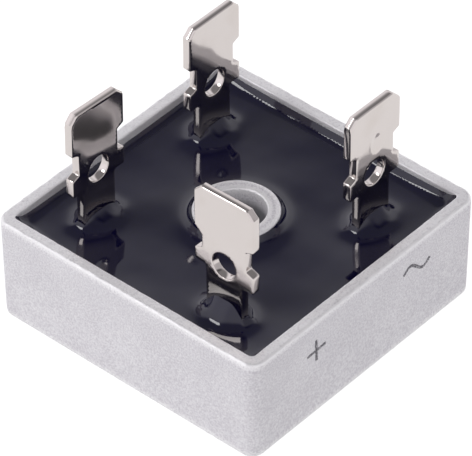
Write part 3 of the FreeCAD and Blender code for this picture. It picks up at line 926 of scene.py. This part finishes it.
def softened(corners: Sequence[tuple[float, float, float]], spacing: float) -> list[Plane]:
    """Walks round a polygon with rounded corners.

    Args:
        corners: each corner's place and radius, counter-clockwise.
        spacing: points are no further apart than this.

    Returns:
        Points counter-clockwise.
    """
    places = [Vector(corner[:2]) for corner in corners]
    bends = []
    for number, (here, (_, _, radius)) in enumerate(zip(places, corners)):
        back = (places[number - 1] - here).normalized()
        ahead = (places[(number + 1) % len(places)] - here).normalized()
        cut = radius * math.tan((math.pi - back.angle(ahead)) / 2)
        # A broad corner takes more steps than a tight one
        steps = 5 if radius > 0.25 else 3
        start, end = here + back * cut, here + ahead * cut
        shares = [step / steps for step in range(steps + 1)] if radius else []
        bends.append([start.lerp(here, t).lerp(here.lerp(end, t), t) for t in shares] or [here])
    points = []
    for bend, following in zip(bends, bends[1:] + bends[:1]):
        here, there = bend[-1], following[0]
        steps = max(1, math.ceil((there - here).length / spacing))
        points += bend[:-1] + [here.lerp(there, step / steps) for step in range(steps)]
    return [tuple(point) for point in points]


def offset(loop: Sequence[Plane], insets: Sequence[float]) -> list[Plane]:
    """Moves a counter-clockwise loop inwards, or a clockwise one outwards.

    Args:
        loop: its points.
        insets: how far each point moves.

    Returns:
        The moved points.
    """
    moved = []
    for before, here, after, inset in zip([loop[-1], *loop[:-1]], loop, [*loop[1:], loop[0]], insets):
        first = Vector((before[1] - here[1], here[0] - before[0])).normalized()
        second = Vector((here[1] - after[1], after[0] - here[0])).normalized()
        push = (first + second) / (1 + first.dot(second)) * inset
        moved.append((here[0] + push.x, here[1] + push.y))
    return moved


# The potting compound

@dataclass
class Compound:
    """Black casting: a flat pool that climbs the walls, the boss and the stems."""

    case: Case
    tabs: list[Tab]
    level: float = 9.05
    side_bank: float = 0.5
    end_bank: float = 0.3
    bank_slope: float = 1.28
    bank_foot: float = 0.34
    foot_growth: float = 4.0
    boss_climb: float = 0.95
    boss_reach: float = 0.45
    dish_climb: float = 0.2
    dish_reach: float = 3.0
    mound_reach: float = 1.05
    lip_climb: float = 0.45
    lip_reach: float = 0.42
    ridge: float = 0.4
    swell: float = 0.2
    swell_size: float = 8.0
    seed: float = 3.0
    cut: float = 8.4
    # How far out the rows of points stand that follow the walls, the boss and the stems
    steps: tuple[float, ...] = (0.04, 0.09, 0.15, 0.22, 0.3, 0.39, 0.49, 0.6, 0.72, 0.85, 0.99, 1.14, 1.31, 1.5,
                                1.72, 1.96)
    # How finely the rest of the pool and each of those rows are divided
    spacing: float = 0.33
    wall_points: int = 110
    fewest_wall_points: int = 70
    boss_points: int = 150
    boss_thinning: float = 0.35
    seam_wall_points: int = 150
    seam_boss_points: int = 160
    stem_spacing: float = 0.16
    bends_per_mm: float = 12.0
    fewest_bends: int = 4

    def stem_loop(self, tab: Tab, out: float) -> list[Plane]:
        """Returns the loop round a stem, a given way out from its faces.

        Args:
            tab: the tab.
            out: distance from the stem's faces.

        Returns:
            Points counter-clockwise.
        """
        across, through = tab.stem_half
        corners = [(across, -through), (across, through), (-across, through), (-across, -through)]
        bends = max(self.fewest_bends, round(out * self.bends_per_mm)) if out else 0
        points = []
        for number, (here, there) in enumerate(zip(corners, corners[1:] + corners[:1])):
            start = (number - 1) * math.pi / 2
            turns = [start + step / bends * math.pi / 2 for step in range(bends)]
            points += [(here[0] + out * math.cos(a), here[1] + out * math.sin(a)) for a in turns]
            side_x, side_y = math.cos(start + math.pi / 2), math.sin(start + math.pi / 2)
            count = max(2, round(math.dist(here, there) / self.stem_spacing))
            points += [(x + out * side_x, y + out * side_y) for x, y in divided(here, there, count)]
        return [(tab.x + x, tab.y + y) for x, y in points]

    def distances(self, points: np.ndarray) -> np.ndarray:
        """Returns the distance of points from the walls, the boss and each stem, one column each.

        Args:
            points: one row for each point.

        Returns:
            The distances.
        """
        wall = self.case.half_cavity - np.abs(points).max(axis=1)
        boss = np.hypot(points[:, 0], points[:, 1]) - self.case.boss_radius
        columns = [wall, boss]
        for tab in self.tabs:
            beyond = np.maximum(np.abs(points - (tab.x, tab.y)) - tab.stem_half, 0.0)
            columns.append(np.hypot(beyond[:, 0], beyond[:, 1]))
        return np.stack(columns, axis=1)

    def scattered(self) -> list[Plane]:
        """Returns the points inside the pool, closer together where the surface bends."""
        kept = []
        half, corner = self.case.half_cavity, self.case.cavity_corner
        for out in self.steps:
            sides = max(int(self.wall_points / (1 + out)), self.fewest_wall_points)
            wall = rounded_square(half - out, max(corner - out, 0.05), sides, 3)
            boss = circle(self.case.boss_radius + out, int(self.boss_points / (1 + self.boss_thinning * out)))
            loops = [wall, boss] + [self.stem_loop(tab, out) for tab in self.tabs]
            for column, loop in enumerate(loops):
                points = np.array(loop)
                kept.append(points[self.distances(points).argmin(axis=1) == column])
        grid = np.arange(-half, half, self.spacing)
        xs, ys = np.meshgrid(grid, grid)
        xs[::2] += self.spacing / 2
        points = np.stack([xs.ravel(), ys.ravel()], axis=1)
        kept.append(points[self.distances(points).min(axis=1) > self.steps[-1] + 0.5 * self.spacing])
        return [tuple(point) for point in np.vstack(kept)]

    def slab(self) -> bpy.types.Object:
        """Returns the top layer of the casting while it is still level, from the cut up."""
        case = self.case
        loops = [rounded_square(case.half_cavity, case.cavity_corner, self.seam_wall_points, 5),
                 circle(case.boss_radius, self.seam_boss_points), *(self.stem_loop(tab, 0.0) for tab in self.tabs)]
        flat, triangles = fill(loops, self.scattered())
        under, under_triangles = fill(loops, [])
        points = [(x, y, self.level) for x, y in flat] + [(x, y, self.cut) for x, y in under]
        faces = list(triangles) + [tuple(len(flat) + corner for corner in face) for face in under_triangles]
        start = 0
        for loop in loops:
            end = start + len(loop)
            faces += band(range(start, end), range(len(flat) + start, len(flat) + end))
            start = end
        return solid("compound_slab", points, faces, COMPOUND)

    def guide(self, name: str, chains: Sequence[Sequence[Place]]) -> bpy.types.Object:
        """Makes an object of loose edges that the geometry nodes measure from.

        Args:
            name: its name.
            chains: points that follow each other; a chain of more than two closes on its first.

        Returns:
            The object.
        """
        points, edges = [], []
        for chain in chains:
            start, count = len(points), len(chain)
            points += [tuple(c * MM for c in place) for place in chain]
            edges += [(start + step, start + (step + 1) % count) for step in range(count if count > 2 else 1)]
        mesh = bpy.data.meshes.new(name)
        mesh.from_pydata(points, edges, [])
        return put_in_scene(name, mesh)

    def guides(self) -> dict[str, bpy.types.Object]:
        """Returns the stems' outlines, and the lines along their middles, each as high as its mound."""
        ridges = []
        for tab in self.tabs:
            x, y = (0.0, self.ridge) if tab.facing is Facing.ALONG_Y else (self.ridge, 0.0)
            ridges.append([(tab.x + side * x, tab.y + side * y, self.level + tab.wetting) for side in (-1, 1)])
        outlines = [[(x, y, self.level) for x, y in self.stem_loop(tab, 0.0)] for tab in self.tabs]
        return {"Ridges": self.guide("stem_ridges", ridges), "Outlines": self.guide("stem_outlines", outlines)}

    def amounts(self) -> dict[str, float]:
        """Returns the numbers that the geometry nodes take, by input, with each length in metres."""
        lengths = {
            "Level": self.level, "Half cavity": self.case.half_cavity, "Side bank": self.side_bank,
            "End bank": self.end_bank, "Bank foot": self.bank_foot, "Dish climb": self.dish_climb,
            "Dish reach": self.dish_reach, "Boss radius": self.case.boss_radius, "Boss climb": self.boss_climb,
            "Boss reach": self.boss_reach, "Stem half": self.tabs[0].half_thick, "Mound reach": self.mound_reach,
            "Lip climb": self.lip_climb, "Lip reach": self.lip_reach, "Swell": self.swell,
        }
        plain = {"Bank slope": self.bank_slope, "Foot growth": self.foot_growth,
                 "Swell scale": 1 / self.swell_size, "Seed": self.seed}
        return {name: length * MM for name, length in lengths.items()} | plain

    def height_steps(self) -> list[Step]:
        """Lists the steps of arithmetic that give how far the surface rises at a point.

        Returns:
            A row for each step: the name of its result, the operation, and the names or numbers that go in.
        """
        def fading(result: str, gap: str, reach: str) -> list[Step]:
            """Returns the steps to a value that is 1 where the gap is nought and dies away over the reach."""
            return [("share", "DIVIDE", gap, reach), ("less", "MULTIPLY", "share", -1.0),
                    (result, "EXPONENT", "less")]

        rows = [("wave", "SUBTRACT", "waves", 0.5), ("height", "MULTIPLY", "wave", "Swell")]
        for axis in "xy":
            rows += [("out", "ABSOLUTE", axis), ("gap " + axis, "SUBTRACT", "Half cavity", "out")]
        for axis, other, width in (("x", "y", "Side bank"), ("y", "x", "End bank")):
            rows += [("room", "SUBTRACT", width, "gap " + axis), ("bank", "MULTIPLY", "room", "Bank slope")]
            # Towards a corner of the case the bank's foot grows broad and soft
            rows += [*fading("corner", "gap " + other, "Dish reach"),
                     ("broader", "MULTIPLY_ADD", "corner", "Foot growth", 1.0),
                     ("foot", "MULTIPLY", "broader", "Bank foot"), ("edge", "SMOOTH_MAX", "bank", 0.0, "foot"),
                     ("height", "ADD", "edge", "height"), *fading("dish", "gap " + axis, "Dish reach"),
                     ("height", "MULTIPLY_ADD", "dish", "Dish climb", "height")]
        # A mound is as high as its ridge and dies away sideways, so only the level distance counts
        rows += [("apart", "SUBTRACT", "sideways", "Stem half"), ("away", "MAXIMUM", "apart", 0.0),
                 ("share", "DIVIDE", "away", "Mound reach"), ("squared", "MULTIPLY", "share", "share"),
                 ("less", "MULTIPLY", "squared", -1.0), ("mound", "EXPONENT", "less"),
                 ("wetting", "SUBTRACT", "ridge", "Level"), ("height", "MULTIPLY_ADD", "mound", "wetting", "height")]
        return rows + [("from boss", "SUBTRACT", "radius", "Boss radius"),
                       *fading("boss", "from boss", "Boss reach"),
                       ("height", "MULTIPLY_ADD", "boss", "Boss climb", "height"),
                       *fading("lip", "from stem", "Lip reach"),
                       ("height", "MULTIPLY_ADD", "lip", "Lip climb", "height"),
                       ("low", "SUBTRACT", "Level", 0.1 * MM)]

    def creep_tree(self) -> tuple[bpy.types.NodeTree, dict[str, str]]:
        """Makes the geometry nodes that raise the level pool where it wets metal.

        Returns:
            The tree, and the identifier of each of its inputs by name.
        """
        tree = bpy.data.node_groups.new("compound_creep", "GeometryNodeTree")
        kinds = {"Geometry": "Geometry", **dict.fromkeys(self.amounts(), "Float"),
                 "Ridges": "Object", "Outlines": "Object", "Material": "Material"}
        for name, kind in kinds.items():
            tree.interface.new_socket(name, in_out="INPUT", socket_type="NodeSocket" + kind)
        tree.interface.new_socket("Geometry", in_out="OUTPUT", socket_type="NodeSocketGeometry")
        given = add(tree, "NodeGroupInput").outputs
        place = add(tree, "GeometryNodeInputPosition").outputs["Position"]
        parts = add(tree, "ShaderNodeSeparateXYZ", {"Vector": place}).outputs
        level = add(tree, "ShaderNodeCombineXYZ", {"X": parts["X"], "Y": parts["Y"]}).outputs["Vector"]
        radius = add(tree, "ShaderNodeVectorMath", {"Vector": level}, operation="LENGTH")
        moved = add(tree, "ShaderNodeVectorMath", {"Vector": level, "Scale": 1 / MM}, operation="SCALE")
        waves = add(tree, "ShaderNodeTexNoise", {"Vector": moved, "W": given["Seed"], "Scale": given["Swell scale"],
                                                 "Detail": 1.0}, noise_dimensions="4D")
        near = {}
        for name in ("Ridges", "Outlines"):
            target = add(tree, "GeometryNodeObjectInfo", {"Object": given[name]}, transform_space="ORIGINAL")
            near[name] = add(tree, "GeometryNodeProximity", {"Target": target.outputs["Geometry"],
                                                             "Source Position": place}, target_element="EDGES")
        top = add(tree, "ShaderNodeSeparateXYZ", {"Vector": near["Ridges"].outputs["Position"]}).outputs
        below = add(tree, "ShaderNodeCombineXYZ", {"X": top["X"], "Y": top["Y"]})
        sideways = add(tree, "ShaderNodeVectorMath", {"Vector": below, "Vector_001": level}, operation="DISTANCE")
        known = {name: given[name] for name in self.amounts()}
        known |= {"x": parts["X"], "y": parts["Y"], "waves": waves, "radius": radius.outputs["Value"],
                  "ridge": top["Z"], "sideways": sideways.outputs["Value"],
                  "from stem": near["Outlines"].outputs["Distance"]}
        for result, operation, *terms in self.height_steps():
            values = (known.get(term, term) for term in terms)
            known[result] = add(tree, "ShaderNodeMath", dict(zip(("Value", "Value_001", "Value_002"), values)),
                                operation=operation)
        is_top = add(tree, "FunctionNodeCompare", {"A": parts["Z"], "B": known["low"]}, operation="GREATER_THAN")
        lift = add(tree, "ShaderNodeCombineXYZ", {"Z": known["height"]})
        raised = add(tree, "GeometryNodeSetPosition", {"Geometry": given["Geometry"], "Selection": is_top,
                                                       "Offset": lift})
        real = add(tree, "GeometryNodeRealizeInstances", {"Geometry": raised})
        dressed = add(tree, "GeometryNodeSetMaterial", {"Geometry": real, "Material": given["Material"]})
        add(tree, "NodeGroupOutput", {"Geometry": dressed})
        inputs = {item.name: item.identifier for item in tree.interface.items_tree if item.in_out == "INPUT"}
        return tree, inputs

    def raised(self) -> bpy.types.Mesh:
        """Returns the mesh of the top layer with its climb."""
        slab, guides = self.slab(), self.guides()
        tree, inputs = self.creep_tree()
        creep = slab.modifiers.new("creep", "NODES")
        creep.node_group = tree
        for name, value in (self.amounts() | guides | {"Material": COMPOUND.material()}).items():
            creep[inputs[name]] = value
        bpy.context.view_layer.update()
        evaluated = slab.evaluated_get(bpy.context.evaluated_depsgraph_get())
        mesh = bpy.data.meshes.new_from_object(evaluated)
        for helper in (slab, *guides.values()):
            bpy.data.objects.remove(helper)
        bpy.data.node_groups.remove(tree)
        return mesh

    def build(self) -> bpy.types.Object:
        """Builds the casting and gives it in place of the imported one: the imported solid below, its new top above."""
        whole = bmesh.new()
        whole.from_mesh(frame["nodes"]["potting_compound"].data)
        hair = 1e-4 * MM
        bmesh.ops.remove_doubles(whole, verts=whole.verts, dist=hair)
        cut = bmesh.ops.bisect_plane(whole, geom=[*whole.verts, *whole.edges, *whole.faces], dist=hair,
                                     plane_co=(0, 0, self.cut * MM), plane_no=(0, 0, 1), clear_outer=True)
        rim = [item for item in cut["geom_cut"] if isinstance(item, bmesh.types.BMEdge)]
        bmesh.ops.triangle_fill(whole, use_beauty=True, edges=rim)
        bmesh.ops.recalc_face_normals(whole, faces=whole.faces)
        for face in whole.faces:
            face.smooth = False
        whole.from_mesh(self.raised())
        mesh = bpy.data.meshes.new("compound")
        whole.to_mesh(mesh)
        whole.free()
        mesh.materials.append(COMPOUND.material())
        piece = put_in_scene("compound", mesh)
        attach(piece, "root")
        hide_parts("potting_compound")
        return piece


# The printed signs

@dataclass
class PolaritySigns:
    """Generic signs of the tabs' polarity, stamped in grey ink on the side towards -Y."""

    case: Case
    thickness: float = 0.015
    sunk: float = 0.05
    stroke: float = 0.3
    spacing: float = 0.1
    bleed: float = 0.25
    bleed_size: float = 0.5
    plus_at: Plane = (-6.45, 7.2)
    plus_arm: float = 1.15
    plus_lean: float = 0.06
    wave_at: Plane = (6.4, 7.75)
    wave_half: float = 1.7
    wave_height: float = 0.55
    wave_steps: int = 24

    def strokes(self) -> dict[str, list[list[Plane]]]:
        """Returns the centre lines of each sign, across and up the side."""
        x, z = self.plus_at
        arm, lean = self.plus_arm, self.plus_lean
        plus = [[(x - arm, z - lean), (x + arm, z + lean)], [(x - lean, z + arm), (x + lean, z - arm)]]
        x, z = self.wave_at
        turns = [step / self.wave_steps for step in range(self.wave_steps + 1)]
        wave = [(x + self.wave_half * (2 * t - 1), z + self.wave_height * math.sin(2 * math.pi * t)) for t in turns]
        return {"plus_sign": plus, "wave_sign": [wave]}

    def ribbon(self, name: str, lines: Sequence[Sequence[Plane]]) -> bpy.types.Object:
        """Makes the thin ink of one sign.

        Args:
            name: the sign's name.
            lines: its centre lines.

        Returns:
            The piece.
        """
        points, faces = [], []
        for line in lines:
            dense = []
            for here, there in zip(line, line[1:]):
                dense += divided(here, there, max(1, round(math.dist(here, there) / self.spacing)))
            dense.append(line[-1])
            start = len(points)
            for behind, (x, z), ahead in zip([dense[0], *dense[:-1]], dense, [*dense[1:], dense[-1]]):
                along = Vector((ahead[0] - behind[0], ahead[1] - behind[1])).normalized()
                half = self.stroke / 2 * (1 + self.bleed * uneven((x, z, 0), self.bleed_size))
                for side in (-1, 1):
                    px, pz = x - along.y * half * side, z + along.x * half * side
                    wall = -(self.case.half_side - self.case.taper * (1 - pz / self.case.height))
                    points += [(px, wall - self.thickness, pz), (px, wall + self.sunk, pz)]
            for step in range(len(dense) - 1):
                a, b = start + 4 * step, start + 4 * (step + 1)
                faces += [(a, a + 2, b + 2, b), (a + 1, b + 1, b + 3, a + 3), (a, b, b + 1, a + 1),
                          (a + 2, a + 3, b + 3, b + 2)]
            end = start + 4 * (len(dense) - 1)
            faces += [(start, start + 1, start + 3, start + 2), (end, end + 2, end + 3, end + 1)]
        piece = solid(name, points, faces, INK)
        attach(piece, "root")
        return piece

    def build(self) -> list[bpy.types.Object]:
        """Builds both signs."""
        return [self.ribbon(name, lines) for name, lines in self.strokes().items()]


# The studio

@dataclass
class Viewpoint:
    """The photograph's camera: a long lens from above the near corner."""

    azimuth: float = -48.72
    elevation: float = 41.14
    roll: float = -0.295
    distance: float = 397.1
    aim: Place = (-0.043, 2.294, 5.0)
    lens: float = 359.9
    sensor: float = 36.0
    clip: Span = (10.0, 10000.0)

    def build(self) -> bpy.types.Object:
        """Makes the camera and sets it as the scene's."""
        turn, tilt, roll = (math.radians(a) for a in (self.azimuth, self.elevation, self.roll))
        back = Vector((math.sin(turn) * math.cos(tilt), -math.cos(turn) * math.cos(tilt), math.sin(tilt)))
        right = Vector((math.cos(turn), math.sin(turn), 0))
        up = back.cross(right)
        target = right * self.aim[0] + up * self.aim[1] + Vector((0, 0, self.aim[2]))
        rolled_right = right * math.cos(roll) + up * math.sin(roll)
        rolled_up = up * math.cos(roll) - right * math.sin(roll)
        data = bpy.data.cameras.new("photo_camera")
        data.lens = self.lens
        data.sensor_width = self.sensor
        data.sensor_fit = "HORIZONTAL"
        data.clip_start, data.clip_end = (reach * MM for reach in self.clip)
        camera = put_in_scene("photo_camera", data)
        turned = Matrix((rolled_right, rolled_up, back)).transposed().to_4x4()
        camera.matrix_world = Matrix.Translation((target + back * self.distance) * MM) @ turned
        bpy.context.scene.camera = camera
        return camera


@dataclass(frozen=True)
class Lamp:
    """A soft window of light that faces the object."""

    name: str
    direction: Place
    distance: float
    width: float
    height: float
    radiance: float

    def build(self) -> bpy.types.Object:
        """Makes the lamp; its power follows from the brightness of its face."""
        data = bpy.data.lights.new(self.name, "AREA")
        data.shape = "RECTANGLE"
        data.size, data.size_y = self.width * MM, self.height * MM
        data.energy = self.radiance * math.pi * self.width * self.height * MM * MM
        lamp = put_in_scene(self.name, data)
        lamp.location = Vector(self.direction).normalized() * self.distance * MM
        lamp.rotation_mode = "QUATERNION"
        lamp.rotation_quaternion = Vector(self.direction).to_track_quat("Z", "Y")
        return lamp


@dataclass(frozen=True)
class Patch:
    """A part of the surroundings that is brighter or darker than the rest: full in its core, gone past its spread.

    Both are angles in degrees from its middle.
    """

    direction: Place
    spread: float
    core: float
    change: float


@dataclass
class Studio:
    """White floor, soft surroundings and one softbox, high up behind and to the left."""

    floor_half: float = 1500.0
    floor_shade: float = 0.4
    floor_glow: float = 0.86
    white: str = "#FFFFFF"
    surround: float = 1.12
    tint: str = "#FCFAFE"
    patches: tuple[Patch, ...] = (
        Patch(direction=(0, 0, 1), spread=58, core=42, change=-0.84),
        Patch(direction=(0.57, -0.65, 0.3), spread=38, core=0, change=-0.5),
        Patch(direction=(0.86, 0.5, 0.12), spread=22, core=0, change=-0.3),
        Patch(direction=(-0.75, 0.5, 0.3), spread=38, core=5, change=0.2),
    )
    lamps: tuple[Lamp, ...] = (
        Lamp("softbox", direction=(-0.55, 0.42, 0.72), distance=500, width=98, height=98, radiance=9.0),
    )

    def build(self) -> None:
        """Makes the floor, the surroundings and the lamps."""
        self.floor()
        self.world()
        for lamp in self.lamps:
            lamp.build()

    def floor(self) -> None:
        """Makes the pale floor: white to the camera and in metal, and still darker where the object shades it."""
        half = self.floor_half * MM
        mesh = bpy.data.meshes.new("floor")
        mesh.from_pydata([(-half, -half, 0), (half, -half, 0), (half, half, 0), (-half, half, 0)], [], [(0, 1, 2, 3)])
        paper = bpy.data.materials.new("white_paper")
        tree = emptied(paper)
        matt = add(tree, "ShaderNodeBsdfDiffuse", {"Color": (self.floor_shade,) * 3 + (1,)})
        path = add(tree, "ShaderNodeLightPath").outputs
        seen = add(tree, "ShaderNodeMath", {"Value": path["Is Camera Ray"], "Value_001": path["Is Glossy Ray"]},
                   operation="ADD")
        also = add(tree, "ShaderNodeMath", {"Value": seen, "Value_001": path["Is Transmission Ray"]},
                   operation="ADD", use_clamp=True)
        strength = add(tree, "ShaderNodeMath", {"Value": also, "Value_001": self.floor_glow}, operation="MULTIPLY")
        glow = add(tree, "ShaderNodeEmission", {"Color": linear(self.white), "Strength": strength})
        both = add(tree, "ShaderNodeAddShader", {"Shader": matt, "Shader_001": glow})
        add(tree, "ShaderNodeOutputMaterial", {"Surface": both})
        mesh.materials.append(paper)
        floor = put_in_scene("floor", mesh)

    def world(self) -> None:
        """Makes the surroundings: white to the camera, and a soft uneven grey round the object."""
        world = bpy.data.worlds.new("surroundings")
        bpy.context.scene.world = world
        tree = emptied(world)
        way = add(tree, "ShaderNodeTexCoord").outputs["Generated"]
        strength: Any = self.surround
        for patch in self.patches:
            middle = Vector(patch.direction).normalized()
            near = add(tree, "ShaderNodeVectorMath", {"Vector": way, "Vector_001": middle},
                       operation="DOT_PRODUCT").outputs["Value"]
            outer, inner = (math.cos(math.radians(angle)) for angle in (patch.spread, patch.core))
            share = add(tree, "ShaderNodeMapRange", {"Value": near, "From Min": outer, "From Max": inner,
                                                     "To Max": patch.change}, interpolation_type="SMOOTHSTEP")
            strength = add(tree, "ShaderNodeMath", {"Value": share, "Value_001": strength}, operation="ADD")
        path = add(tree, "ShaderNodeLightPath").outputs
        soft = add(tree, "ShaderNodeBackground", {"Color": linear(self.tint), "Strength": strength})
        white = add(tree, "ShaderNodeBackground", {"Color": linear(self.white), "Strength": 1.0})
        glow = add(tree, "ShaderNodeMixShader", {"Fac": path["Is Camera Ray"], "Shader": soft, "Shader_001": white})
        add(tree, "ShaderNodeOutputWorld", {"Surface": glow})


def dress_packed_nodes() -> int:
    """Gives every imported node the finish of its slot.

    Returns:
        The number of nodes.
    """
    for row in frame["record"]["subparts"]:
        data = frame["nodes"][row["node"]].data
        data.materials.clear()
        data.materials.append(FINISH_OF_SLOT[row["material_slot"]].material())
    return len(frame["record"]["subparts"])


def main() -> None:
    """Builds the pieces in order and reports each."""
    logging.basicConfig(level=logging.INFO, format="%(message)s")
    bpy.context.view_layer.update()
    bpy.context.scene.view_settings.view_transform = "Standard"
    log.info("%d packed nodes dressed", dress_packed_nodes())
    case = Case.from_frame()
    log.info("case: %d faces", len(case.build().data.polygons))
    tabs = [
        Tab("terminal_ac_left", -7.5, 8.95, Facing.ALONG_X, 1, seed=1.0, right=Side(tip=21.6), wetting=0.6),
        Tab("terminal_negative", 7.2, 9.05, Facing.ALONG_X, 1, seed=2.0, wetting=0.75),
        Tab("terminal_ac_right", 7.05, -8.65, Facing.ALONG_X, -1, seed=3.0, right=Side(crop=0.95, crop_round=0.5),
            dimple=(0.17, 17.74), wetting=0.85),
        Tab("terminal_positive", -9.55, -7.35, Facing.ALONG_Y, -1, seed=4.0,
            right=Side(notch_top=17.45, notch_slope=0.7, notch_round=0.45, ear_bottom=13.87, ear_round=0.4),
            wetting=1.5),
    ]
    for tab in tabs:
        log.info("%s: %d faces", tab.node, len(tab.build().data.polygons))
    log.info("compound: %d faces", len(Compound(case, tabs).build().data.polygons))
    for sign in PolaritySigns(case).build():
        log.info("%s: %d faces", sign.name, len(sign.data.polygons))
    Studio().build()
    Viewpoint().build()


if __name__ == "__main__":
    main()
